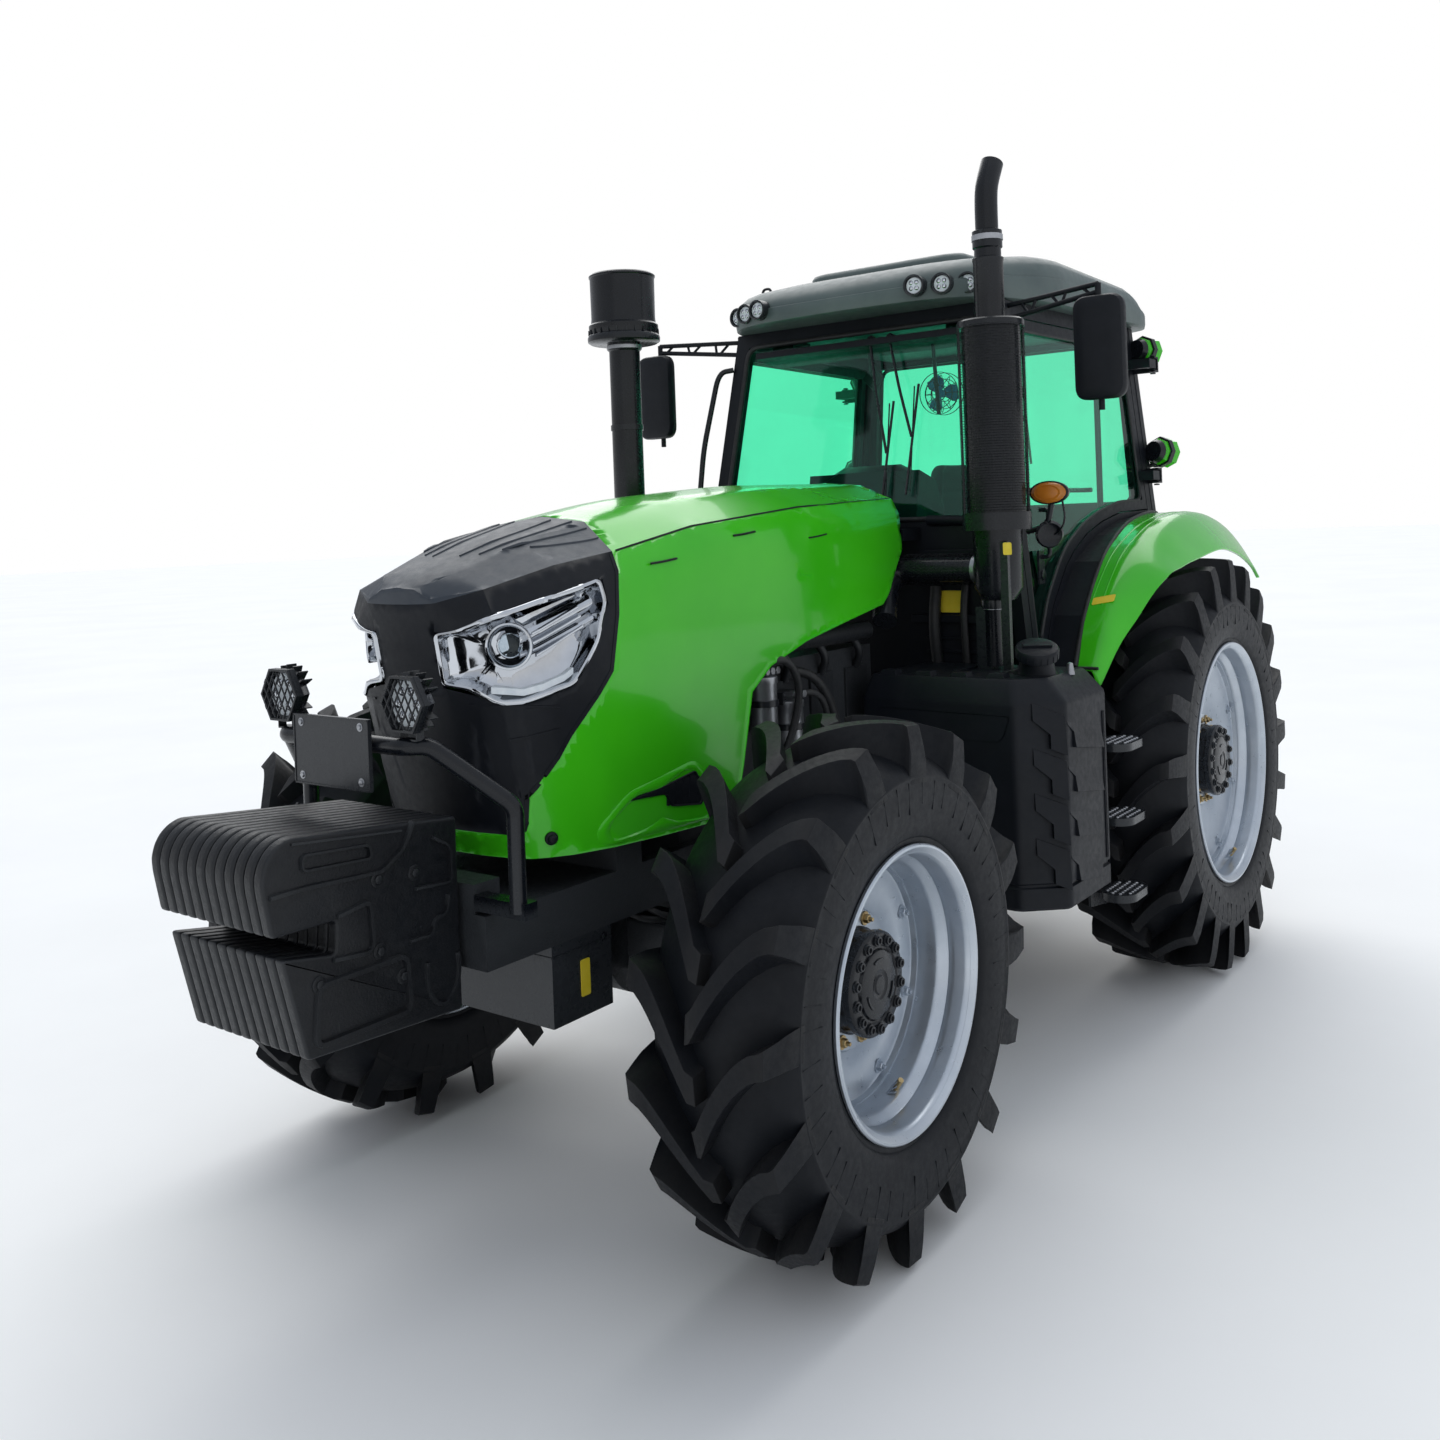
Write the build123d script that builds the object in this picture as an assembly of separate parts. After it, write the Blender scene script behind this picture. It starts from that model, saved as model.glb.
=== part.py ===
"""Row-crop farm tractor with a closed cab, front weights and a rear three-point hitch.

Frame: millimetres, +X forward, +Y to the tractor's left, +Z up.  The sizes below are
measured from the rear axle (X = 0) and the ground (Z = 0); `write` moves each piece so
that the origin is the middle of the whole tractor, on the ground.
"""
from build123d import *
import math
import os

# ---------------------------------------------------------------- driving dimensions
FRONT_REACH = 4125.0        # rear axle to the front of the weights
REAR_REACH = 1350.0         # rear axle to the ends of the lower links
REAR_AXLE_X = -(FRONT_REACH - REAR_REACH) / 2.0

WHEELBASE = 2760.0
FIT = 0.2                   # gap between seated curved faces
GAP = 6.0                   # gap round a moving panel
SHEET = 12.0                # thickness of hood panels
PLATE = 10.0                # thickness of steel plates

# Wheels: one row an axle.
WHEELS = {
    "front": dict(x=WHEELBASE, y=876.0, radius=717.5, width=430.0, flange=382.5, lugs=16,
                  shoulder=575.0, carcass=662.0, disc=18.0, hub_face=94.0, hub_radius=140.0),
    "rear": dict(x=0.0, y=916.0, radius=877.5, width=467.0, flange=508.5, lugs=21,
                 shoulder=690.0, carcass=815.0, disc=90.0, hub_face=165.0, hub_radius=150.0),
}
KINGPIN_Y = 650.0
KINGPIN = 25.0
AXLE_PIVOT_REACH = 240.0

# Hood in plan: one row a level, from the bottom up.
#     z, half-width at the cab, half-width, nose
HOOD_PLAN = [
    (1000.0, 362.0, 372.0, 3360.0),
    (1130.0, 364.0, 374.0, 3385.0),
    (1560.0, 368.0, 385.0, 3495.0),
    (1790.0, 340.0, 372.0, 3535.0),
    (2200.0, 316.0, 350.0, 3535.0),
]
HOOD_REAR_X = 1400.0
HOOD_WIDE_X = 2150.0
NOSE_START_X = 2900.0
# Rounding of the nose in plan: share of its length, share of the half-width.
NOSE_ROUND = [(0.0, 1.0), (0.45, 0.96), (0.72, 0.88), (0.84, 0.80), (0.91, 0.72), (0.96, 0.56), (0.99, 0.32), (1.0, 0.1)]
# Hood from the side: crown, crease and the crease's half-width, one row a section.
HOOD_TOP = [
    (1300.0, 2118.0, 2044.0, 300.0),
    (2100.0, 2106.0, 2018.0, 330.0),
    (2700.0, 2062.0, 1966.0, 342.0),
    (3050.0, 1998.0, 1902.0, 335.0),
    (3263.0, 1944.0, 1873.0, 315.0),
    (3460.0, 1872.0, 1819.0, 250.0),
    (3530.0, 1832.0, 1798.0, 120.0),
    (3600.0, 1795.0, 1770.0, 60.0),
]
HOOD_HINGE = (1396.0, 2066.0)
HOOD_HINGE_Y = (-150.0, 150.0)
HOOD_PIN = 8.0
# Side outline of the closed hood, from the rear top edge round below to the nose.
HOOD_OUTLINE = [
    (1400, 2200), (1400, 1850), (1545, 1690), (1600, 1655), (1900, 1610), (2150, 1570), (2360, 1510),
    (2465, 1440), (2515, 1230), (2560, 1070), (3300, 1097), (3700, 1097), (3700, 2200),
]
# Line between the green panels and the black nose, and the green strip below the nose.
NOSE_LINE = [
    (2940, 2250), (2990, 2000), (3050, 1902), (3072, 1728), (3110, 1578), (3256, 1419), (3361, 1268),
    (3354, 1162), (3900, 1162), (3900, 2250),
]
# Crease between the top and the sides.
CREASE_LINE = [(1300, 2044), (2100, 2018), (2700, 1966), (3050, 1902), (3263, 1873), (3460, 1819), (3530, 1785),
               (3600, 1770)]
HEADLIGHT = [(3600, 1708), (3505, 1711), (3461, 1754), (3331, 1789), (3132, 1831), (3112, 1770), (3151, 1664),
             (3189, 1613), (3241, 1551), (3384, 1517), (3435, 1517), (3490, 1562), (3600, 1575)]
HEADLIGHT_INNER_Y = 118.0

# Cab: the side walls lie on y = SIDE_Y - SIDE_SPLAY * x - SIDE_LEAN * (z - SILL_Z).
SIDE_Y = 767.0
SIDE_SPLAY = 0.05
SIDE_LEAN = 0.10
SILL_Z = 1930.0
# The windscreen lies on x = FRONT_X - FRONT_RAKE * (z - SILL_Z).
FRONT_X = 1208.0
FRONT_RAKE = 0.165
CAB_REAR_X = -200.0
CAB_TOP_Z = 2800.0
CAB_FLOOR_Z = 1180.0
FIREWALL_X = 1174.0
WALL = 45.0                 # depth of the cab's pillars
GLASS = 8.0
CAB_HALF_FLOOR = 650.0
REAR_SILL_Z = 1948.0
# Crown of the rear fender from the side, from its front foot to its rear end; the cab's wall stands on it.
CROWN = [(1085, 1385), (960, 1570), (720, 1768), (480, 1868), (254, 1922), (-50, 1951), (-330, 1938), (-600, 1880),
         (-740, 1790)]
# Outer lip of the same fender, one point below each point of the crown.
LIP = [(1085, 1325), (935, 1505), (704, 1691), (480, 1740), (254, 1767), (-50, 1792), (-300, 1765), (-520, 1705),
       (-640, 1640)]
SIDE_OUTLINE = [(1225, 1200), (1208, 1930), (1064, 2800), (CAB_REAR_X, 2800), (CAB_REAR_X, REAR_SILL_Z), *reversed(CROWN[:6]),
                (1100, 1200)]
DOOR_OPENING = [
    (1172, 1330), (1159, 1930), (1026, 2740), (-105, 2740), (-105, 1966), (200, 1957), (300, 1940), (400, 1922),
    (560, 1878), (720, 1804), (800, 1753), (960, 1604), (1060, 1457), (1108, 1387), (1140, 1330),
]
DOOR_FRAME = 42.0
DOOR_HINGE = (-130.0, 805.0)
DOOR_HINGE_Z = (2120.0, 2620.0)
DOOR_PIN = 8.0
COLUMN_FOOT = (950.0, 0.0, 1850.0)
COLUMN_TOP = (820.0, 0.0, 2030.0)

# Rear fender in plan: the inner edge of the green skin, then the outer edge from the rear to the foot.
FENDER_INNER = [(-740, 700), (-205, 700), (-200, 775), (100, 800), (640, 850), (1085, 880)]
FENDER_OUTER = [(1085, 975), (900, 1050), (700, 1100), (-740, 1100)]
FENDER_CROWN_Y = 980.0
FENDER_LIP_Y = 1100.0

# Roof: plan and side outlines, and the lamps at its front corners.
ROOF_PLAN = [(1180, -590), (1270, -370), (1300, 0), (1270, 370), (1180, 590), (800, 720), (-280, 750), (-380, 650),
             (-380, -650), (-280, -750), (800, -720)]
ROOF_SIDE = [(1350, 2800), (1350, 2900), (1230, 2985), (800, 3040), (300, 3060), (-100, 3020), (-400, 2900),
             (-400, 2800)]
ROOF_LAMPS = [(1245, 365), (1200, 460), (1140, 540)]

# Front weights: a row of like plates.
WEIGHT_COUNT = 12
WEIGHT_PITCH = 38.0
WEIGHT_THICKNESS = 34.0
WEIGHT_REAR_X = 3558.0
WEIGHT_OUTLINE = [(WEIGHT_REAR_X, 758), (4022, 784), (4081, 1030), (3933, 1003), (3929, 1083), (4104, 1083),
                  (FRONT_REACH, 1204), (4101, 1271), (4057, 1300), (WEIGHT_REAR_X, 1253)]

# Guard tube in front of the nose: centre line of its left half.
GUARD = [(3530, 410, 1025), (3530, 410, 1290), (3685, 281, 1452), (3725, 230, 1452)]
GUARD_TUBE = 22.0
GUARD_FOOT_Z = (1010.0, 1050.0)
SUPPORT_X = 3540.0
SUPPORT_Z = (860.0, 1000.0)

# Stacks.
EXHAUST = (1396.0, 730.0)
INTAKE = (1880.0, -595.0)

# Mirrors, fuel tank and steps.
MIRROR = (1150.0, 1040.0)
STEP_PLATE_Y = 910.0
TANK_X = (1235.0, 1720.0)
TANK_Y = (330.0, 1050.0)
TANK_Z = (635.0, 1410.0)
FILLER = (1500.0, 905.0)

# Hitch.
LINK_BORE = 14.3
LINK_PIVOT = (-230.0, 280.0, 520.0)
LINK_END = (-1300.0, 440.0, 560.0)
ROCK_SHAFT = (-420.0, 1010.0)
ROCK_RADIUS = 45.0
LIFT_REACH = 430.0
LIFT_ARM_Y = 340.0
PIN = 16.0


# ---------------------------------------------------------------- helpers
def write(name, shape):
    """Move a piece to the middle frame and write it as parts/NAME.step."""
    os.makedirs("parts", exist_ok=True)
    export_step(Pos(REAR_AXLE_X, 0, 0) * shape, f"parts/{name}.step")


def both(shape):
    """The shape and its mirror image across the middle plane."""
    return Compound(list(shape.solids()) + list(mirror(shape, about=Plane.XZ).solids()))


def block(x, y, z):
    """A box from its three ranges."""
    return Pos(sum(x) / 2, sum(y) / 2, sum(z) / 2) * Box(x[1] - x[0], y[1] - y[0], z[1] - z[0])


def prism_xz(points, y0, y1):
    """A side outline, extruded across the tractor."""
    face = make_face(Polyline([(x, y0, z) for x, z in points], close=True))
    return extrude(face, amount=y1 - y0, dir=(0, 1, 0))


def prism_yz(points, x0, x1):
    """A front outline, extruded along the tractor."""
    face = make_face(Polyline([(x0, y, z) for y, z in points], close=True))
    return extrude(face, amount=x1 - x0, dir=(1, 0, 0))


def prism_xy(points, z0, z1):
    """A plan outline, extruded upwards."""
    face = make_face(Polyline([(x, y, z0) for x, y in points], close=True))
    return extrude(face, amount=z1 - z0, dir=(0, 0, 1))


def rod(start, end, radius):
    """A round bar between two points."""
    line = Vector(*end) - Vector(*start)
    return extrude(Plane(origin=start, z_dir=line) * Circle(radius), amount=line.length)


def bar(start, end, width, height):
    """A flat bar between two points: `width` lies across the tractor where it can."""
    line = Vector(*end) - Vector(*start)
    side = Vector(0, 1, 0) if abs(line.normalized().Y) < 0.9 else Vector(1, 0, 0)
    plane = Plane(origin=start, x_dir=side - line * (side.dot(line) / line.dot(line)), z_dir=line)
    return extrude(plane * Rectangle(width, height), amount=line.length)


def tube(points, radius, bend):
    """A bent round bar."""
    path = FilletPolyline(*points, radius=bend)
    return sweep(Plane(origin=path @ 0, z_dir=path % 0) * Circle(radius), path=path)


def ring(profile, x, y, z):
    """A turned piece: (radius, offset along Y) points, turned about the Y line through x, z."""
    face = make_face(Polyline([(r, offset, 0) for r, offset in profile], close=True))
    return Pos(x, y, z) * revolve(face, Axis.Y, 360)


def fused(shapes):
    """One shape out of many that touch."""
    shapes = list(shapes)
    return shapes[0].fuse(*shapes[1:]) if len(shapes) > 1 else shapes[0]


# ---------------------------------------------------------------- wheels
def tyre(w):
    """Carcass with its bore on the rim, and the lugs, centre ends leading."""
    half = w["width"] / 2.0
    bore = w["flange"] - 22.0
    bead = half - 26.0
    body = ring([(bore, -bead), (w["flange"] + 4.0, -bead), (w["shoulder"], -half), (w["carcass"], 0.0),
                 (w["shoulder"], half), (w["flange"] + 4.0, bead), (bore, bead)], 0, 0, 0)
    pitch = 2.0 * math.pi / w["lugs"]
    reach = w["radius"] * pitch * 0.36
    top = math.sqrt(w["radius"] ** 2 - (reach + 34.0) ** 2)
    foot = w["shoulder"] - 12.0
    end = half - 16.0
    lugs = []
    for side in (1.0, -1.0):
        outline = [(-reach - 22.0, side * -14.0), (-reach + 26.0, side * -14.0), (reach + 34.0, side * end),
                   (reach - 34.0, side * end)]
        face = make_face(Polyline([(t, y, foot) for t, y in outline], close=True))
        lug = extrude(face, amount=top - foot, dir=(0, 0, 1))
        for turn in range(w["lugs"]):
            angle = math.degrees(pitch * (turn + (0.25 if side > 0 else 0.75)))
            # The centre end leads when the wheel rolls forward.
            lugs.append(Rot(0, angle, 0) * mirror(lug, about=Plane.YZ))
    return body.fuse(*lugs)


def rim(w):
    """Rim barrel with its flanges, the dished disc, the hub and its bolts; the outside is +Y."""
    half = w["width"] / 2.0 - 26.0
    outer = w["flange"] - 22.0 - FIT
    edge = half + 14.0
    wall = 9.0
    disc = w["disc"]
    hub = w["hub_radius"]
    profile = [
        (outer, -half - FIT), (w["flange"], -half - FIT), (w["flange"], -edge), (outer - wall, -edge),
        (outer - wall - 22.0, -40.0), (outer - wall - 22.0, disc - 14.0), (hub + 60.0, disc - 14.0),
        (hub + 60.0, disc), (outer - wall - 22.0, disc), (outer - wall, half - 60.0), (outer - wall, edge),
        (w["flange"], edge), (w["flange"], half + FIT), (outer, half + FIT),
    ]
    barrel = ring(profile, 0, 0, 0)
    bore = 60.0 + 0.05
    centre = ring([(bore, -118.0), (hub - 10.0, -118.0), (hub - 10.0, disc - 30.0), (hub + 70.0, disc - 30.0),
                   (hub + 70.0, disc - 14.0), (hub, disc - 14.0), (hub, w["hub_face"]), (0.0, w["hub_face"]),
                   (0.0, w["hub_face"] - 40.0), (bore, w["hub_face"] - 40.0)], 0, 0, 0)
    step = 360.0 / 12
    bolts = [
        Rot(0, step * turn, 0) * Pos(hub - 22.0, 0, 0) * rod((0, w["hub_face"], 0), (0, w["hub_face"] + 14.0, 0), 11.0)
        for turn in range(12)
    ]
    return barrel, centre.fuse(*bolts)


def wheels():
    """The four wheels; the right ones mirror the left ones."""
    for end, w in WHEELS.items():
        rubber = tyre(w)
        barrel, centre = rim(w)
        for side, name in ((1, "left"), (-1, "right")):
            place = Pos(w["x"], side * w["y"], w["radius"])
            flip = (lambda s: s) if side > 0 else (lambda s: mirror(s, about=Plane.XZ))
            write(f"tyre_{end}_{name}", place * flip(rubber))
            write(f"rim_{end}_{name}", place * Compound([*flip(barrel).solids(), *flip(centre).solids()]))


# ---------------------------------------------------------------- axles and driveline
def front_axle():
    """Beam with its clevis ends, the differential housing and the pivot bosses."""
    w = WHEELS["front"]
    x, z = w["x"], w["radius"]
    root = KINGPIN_Y - 110
    beam = block((x - 75, x + 75), (20 - root, root - 20), (z - 70, z + 70))
    differential = rod((x, -120, z), (x, 150, z), 165)
    pivot = rod((x - AXLE_PIVOT_REACH, 0, z), (x + AXLE_PIVOT_REACH, 0, z), 85)
    pieces = [beam, differential, pivot]
    for side in (1, -1):
        for low in (-150, 110):
            pieces.append(block((x - 60, x + 60), tuple(sorted((side * (root - 50), side * (KINGPIN_Y + 45)))),
                                (z + low, z + low + 40)))
        pieces.append(block((x - 60, x + 60), tuple(sorted((side * (root - 50), side * root))), (z - 150, z + 150)))
    bores = [rod((x, y, z - 200), (x, y, z + 200), KINGPIN + 0.05) for y in (KINGPIN_Y, -KINGPIN_Y)]
    return fused(pieces) - bores


def knuckle():
    """Left knuckle: kingpin body, spindle and steering arm."""
    w = WHEELS["front"]
    x, z = w["x"], w["radius"]
    body = block((x - 70, x + 70), (KINGPIN_Y - 60, KINGPIN_Y + 62), (z - 104, z + 104))
    flange = rod((x, KINGPIN_Y + 62, z), (x, w["y"] - 124, z), 100)
    spindle = rod((x, KINGPIN_Y + 62, z), (x, w["y"] + 30, z), 60)
    arm = block((x - 250, x - 60), (KINGPIN_Y - 40, KINGPIN_Y + 20), (z - 20, z + 20))
    kingpin = rod((x, KINGPIN_Y, z - 156), (x, KINGPIN_Y, z + 156), KINGPIN)
    return fused([body, flange, spindle, arm, kingpin])


def driveline():
    """Clutch housing, gearbox, rear axle with its trumpets, drawbar, PTO stub and valve block."""
    w = WHEELS["rear"]
    z = w["radius"]
    pieces = [
        block((1240, 1520), (-262, 262), (600, 1100)),
        block((250, 1260), (-230, 230), (560, 1060)),
        block((-330, 290), (-260, 260), (480, 1085)),
    ]
    for side in (1, -1):
        pieces.append(rod((0, side * 250, z), (0, side * 560, z), 150))
        pieces.append(rod((0, side * 550, z), (0, side * (w["y"] - 126), z), 105))
        pieces.append(rod((0, side * 700, z), (0, side * (w["y"] + 100), z), 60))
        pieces.append(rod((LINK_PIVOT[0], side * 250, LINK_PIVOT[2]), (LINK_PIVOT[0], side * 300, LINK_PIVOT[2]), PIN))
    pieces.append(rod((-520, 0, 720), (-320, 0, 720), 17.5))
    pieces.append(block((-330, -300), (-95, 95), (640, 800)))
    pieces.append(block((-1000, -100), (-45, 45), (400, 440)))
    pieces.append(block((-330, -100), (-110, 110), (430, 490)))
    x, z = ROCK_SHAFT
    pieces.append(block((x - 70, -320), (-240, 240), (z - 80, z + 75)))
    pieces.append(block((x - 130, x - 65), (-45, 45), (z - 70, z + 30)))
    return fused(pieces) - rod((x, -400, z), (x, 400, z), ROCK_RADIUS + 0.05)


def front_support():
    """Front casting, side rails, axle hangers and the weight carrier."""
    hanger_x = WHEELBASE + AXLE_PIVOT_REACH
    rear_x = WHEELBASE - AXLE_PIVOT_REACH
    low = WHEELS["front"]["radius"] - 78
    pieces = [
        block((hanger_x, SUPPORT_X), (-300, 300), SUPPORT_Z),
        block((SUPPORT_X - 90, SUPPORT_X), (-260, 260), (SUPPORT_Z[0], 1075)),
        block((SUPPORT_X - 10, SUPPORT_X + 80), (-190, 190), (940, 1000)),
        block((hanger_x, hanger_x + 70), (-120, 120), (low, SUPPORT_Z[0] + 10)),
        block((rear_x - 80, rear_x), (-300, 300), (SUPPORT_Z[0], 899.5)),
        block((rear_x - 80, rear_x), (-120, 120), (low, SUPPORT_Z[0] + 10)),
    ]
    for side in (1, -1):
        pieces.append(block((HOOD_REAR_X, hanger_x + 100), tuple(sorted((side * 262, side * 300))), SUPPORT_Z))
    return fused(pieces)


def engine():
    """The engine as one plain block, with the radiator in front of it."""
    return Compound([
        block((1520, 2700), (-255, 255), (900, 1500)),
        block((2930, 3040), (-300, 300), (SUPPORT_Z[1], 1640)),
    ])


# ---------------------------------------------------------------- front end
def front_weights():
    """Row of suitcase weights on their carrier and their clamping rods."""
    pieces = []
    first = -WEIGHT_PITCH * (WEIGHT_COUNT - 1) / 2.0
    for index in range(WEIGHT_COUNT):
        middle = first + WEIGHT_PITCH * index
        pieces.append(prism_xz(WEIGHT_OUTLINE, middle - WEIGHT_THICKNESS / 2, middle + WEIGHT_THICKNESS / 2))
    hook = block((SUPPORT_X - 10, SUPPORT_X + 80), (-400, 400), (940, 1000))
    rods = [rod((x, first - 30, z), (x, -first + 30, z), 16) for x, z in ((3740, 900), (3860, 1180))]
    return fused([*pieces, *rods]) - hook


def front_guard():
    """Bent guard tube in front of the nose, its feet and the blank plate."""
    right = [(x, -y, z) for x, y, z in reversed(GUARD)]
    hoop = tube([*GUARD, *right], GUARD_TUBE, 58)
    x, y, _ = GUARD[0]
    feet = [block((x - 35, SUPPORT_X), tuple(sorted((side * 260, side * (y + 30)))), GUARD_FOOT_Z) for side in (1, -1)]
    bar_x, _, bar_z = GUARD[-1]
    plate_x = bar_x + 31
    plate = block((plate_x, plate_x + 6), (-148, 148), (1341, 1517))
    stays = [block((bar_x + 4, plate_x), (side - 12, side + 12), (bar_z - 12, bar_z + 14)) for side in (-85, 85)]
    return fused([hoop, *feet, *stays, plate])


def guard_lamps():
    """Two hexagonal work lamps on the guard tube."""
    pieces = []
    x, _, z = GUARD[-1]
    for y in (-247, 247):
        body = Pos(x - 45, y, z + 105) * Rot(0, 90, 0) * extrude(RegularPolygon(80, 6), amount=62)
        foot = block((x - 8, x + 8), (y - 10, y + 10), (z + GUARD_TUBE + 0.3, z + 40))
        pieces.extend(body.fuse(foot).solids())
    return pieces


def front_box():
    """Box hung below the front support."""
    rear = WHEELBASE + AXLE_PIVOT_REACH + 75
    return block((rear, rear + 235), (-300, 300), (640, SUPPORT_Z[0]))


# ---------------------------------------------------------------- hood
def hood_plan(z, rear, half, nose, skin):
    """The hood's outline at one level as a face, drawn in by `skin`."""
    length = nose - skin - NOSE_START_X
    left = [(HOOD_REAR_X - 100, rear - skin), (HOOD_WIDE_X, half - skin)]
    left.extend((NOSE_START_X + share * length, width * (half - skin)) for share, width in NOSE_ROUND)
    points = [(x, -y, z) for x, y in left] + [(x, y, z) for x, y in reversed(left)]
    return make_face(Polyline(points, close=True))


def hood_top_section(x, crown, crease_z, crease, skin):
    """The hood's crown at one station as a face, lowered by `skin`."""
    side = 700.0
    half = [(0.0, crown), (0.55 * crease, crown - 0.2 * (crown - crease_z)), (crease, crease_z),
            (side, crease_z - 2.0 * (side - crease)), (side, 0.0)]
    points = [(x, y, z - skin) for y, z in half] + [(x, -y, z - skin) for y, z in reversed(half[1:])]
    return make_face(Polyline(points, close=True))


def hood_body(skin):
    """The hood as a solid, drawn in by `skin`."""
    plan = loft([hood_plan(*row, skin) for row in HOOD_PLAN], ruled=True)
    top = loft([hood_top_section(*row, skin) for row in HOOD_TOP], ruled=True)
    return plan & top


def hood_shell(skin=SHEET):
    """The bent sheet of the whole hood, open below and at the back."""
    return (hood_body(0.0) & prism_xz(HOOD_OUTLINE, -600, 600)) - hood_body(skin)


def hood():
    """The green panels, the black fascia and cap, and the headlights."""
    shell = hood_shell()
    nose = prism_xz(NOSE_LINE, -600, 600)
    above = prism_xz([*CREASE_LINE, (3800, 1770), (3800, 2300), (1300, 2300)], -600, 600)
    lights = hood_shell(2 * SHEET) & both(prism_xz(HEADLIGHT, HEADLIGHT_INNER_Y, 600))
    x, z = HOOD_HINGE
    top = (shell - nose) & above
    for y in HOOD_HINGE_Y:
        lug = block((x - 12, x + 60), (y - 24, y + 24), (z - 12, z + 14)).fuse(
            block((x + 24, x + 60), (y - 24, y + 24), (z, z + 24)))
        top = top.fuse(lug - rod((x, y - 60, z), (x, y + 60, z), HOOD_PIN + 0.05))
    write("hood_top", top)
    write("hood_sides", (shell - nose) - above)
    write("nose_cap", (shell & nose) & above)
    write("nose_fascia", ((shell & nose) - above) - lights)
    write("headlights", lights - above)


# ---------------------------------------------------------------- cab
def side_y(x, z):
    """Outer face of the left cab wall."""
    return SIDE_Y - SIDE_SPLAY * x - SIDE_LEAN * (z - SILL_Z)


def front_x(z):
    """Outer face of the windscreen."""
    return FRONT_X - FRONT_RAKE * (z - SILL_Z)


def side_slab(inner, outer):
    """A slab along the left wall, between two depths inside its outer face."""
    faces = []
    for z in (1100.0, 2900.0):
        corners = [(-600, side_y(-600, z) - inner, z), (1400, side_y(1400, z) - inner, z),
                   (1400, side_y(1400, z) - outer, z), (-600, side_y(-600, z) - outer, z)]
        faces.append(make_face(Polyline(corners, close=True)))
    return loft(faces, ruled=True)


def front_slab(inner, outer):
    """A slab along the windscreen, between two depths inside its outer face."""
    faces = []
    for z in (1100.0, 2900.0):
        corners = [(front_x(z) - inner, -900, z), (front_x(z) - outer, -900, z),
                   (front_x(z) - outer, 900, z), (front_x(z) - inner, 900, z)]
        faces.append(make_face(Polyline(corners, close=True)))
    return loft(faces, ruled=True)


def inset(points, amount):
    """A side outline as a face, drawn in by `amount`."""
    face = make_face(Polyline([(x, z) for x, z in points], close=True))
    return offset(face, amount=-amount, kind=Kind.INTERSECTION)


def side_skin(face, inner, outer):
    """A flat outline (x, z) cut out of the left wall's slab."""
    standing = Plane(origin=(0, 300, 0), x_dir=(1, 0, 0), z_dir=(0, -1, 0)) * face
    return extrude(standing, amount=900, dir=(0, 1, 0)) & side_slab(inner, outer)


WINDSCREEN = [(-640, 1960), (640, 1960), (565, 2740), (-565, 2740)]
REAR_WINDOW = [(-670, 2000), (670, 2000), (620, 2740), (-620, 2740)]


def cab_frame():
    """Pillars, sills and rails of the cab as one frame."""
    side = side_skin(inset(SIDE_OUTLINE, 0), WALL, 0) - side_skin(inset(DOOR_OPENING, 0), WALL + 5, -5)
    low_x, high_x = FRONT_X, front_x(CAB_TOP_Z)
    front_outline = [(-side_y(low_x, 1930), 1930), (side_y(low_x, 1930), 1930), (side_y(high_x, CAB_TOP_Z), CAB_TOP_Z),
                     (-side_y(high_x, CAB_TOP_Z), CAB_TOP_Z)]
    front = (prism_yz(front_outline, 700, 1300) & front_slab(WALL, 0)) - prism_yz(WINDSCREEN, 700, 1300)
    rear_outline = [(-side_y(CAB_REAR_X, REAR_SILL_Z), REAR_SILL_Z), (side_y(CAB_REAR_X, REAR_SILL_Z), REAR_SILL_Z),
                    (side_y(CAB_REAR_X, CAB_TOP_Z), CAB_TOP_Z), (-side_y(CAB_REAR_X, CAB_TOP_Z), CAB_TOP_Z)]
    rear = prism_yz(rear_outline, CAB_REAR_X, CAB_REAR_X + WALL) - prism_yz(REAR_WINDOW, -600, 0)
    within = prism_xz(SIDE_OUTLINE, -900, 900)
    x, y = DOOR_HINGE
    hinges = []
    for z in DOOR_HINGE_Z:
        hinges.append(block((x - 34, x - 19), (side_y(x, z) - 5, y + 14), (z - 34, z + 34)))
        for low in (z - 34, z + 26):
            hinges.append(block((x - 20, x + 14), (y - 14, y + 14), (low, low + 8)))
        hinges.append(rod((x, y, z - 34), (x, y, z + 34), DOOR_PIN))
    left = fused([side, *hinges])
    return fused([left, mirror(left, about=Plane.XZ), front & within, rear])


def cab_glass():
    """Windscreen and rear window."""
    screen = prism_yz(WINDSCREEN, 700, 1300) & front_slab(20 + GLASS, 20)
    rear = prism_yz(REAR_WINDOW, CAB_REAR_X + 10, CAB_REAR_X + 10 + GLASS)
    return Compound([*screen.solids(), *rear.solids()])


def door():
    """Left door: frame and glass."""
    outer = side_skin(inset(DOOR_OPENING, GAP), 35, 0)
    pane = inset(DOOR_OPENING, GAP + DOOR_FRAME)
    frame = outer - side_skin(pane, 60, -20)
    x, y = DOOR_HINGE
    for z in DOOR_HINGE_Z:
        lug = block((x, x + 80), (y - 13, y + 13), (z - 20, z + 20)).fuse(rod((x, y, z - 20), (x, y, z + 20), 13))
        web = block((x + 50, x + 80), (side_y(x + 80, z - 20) - 8, y + 13), (z - 20, z + 20))
        frame = frame.fuse(fused([lug, web]) - rod((x, y, z - 60), (x, y, z + 60), DOOR_PIN + 0.05))
    glass = side_skin(pane, 14 + GLASS, 14)
    return frame, glass


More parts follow.
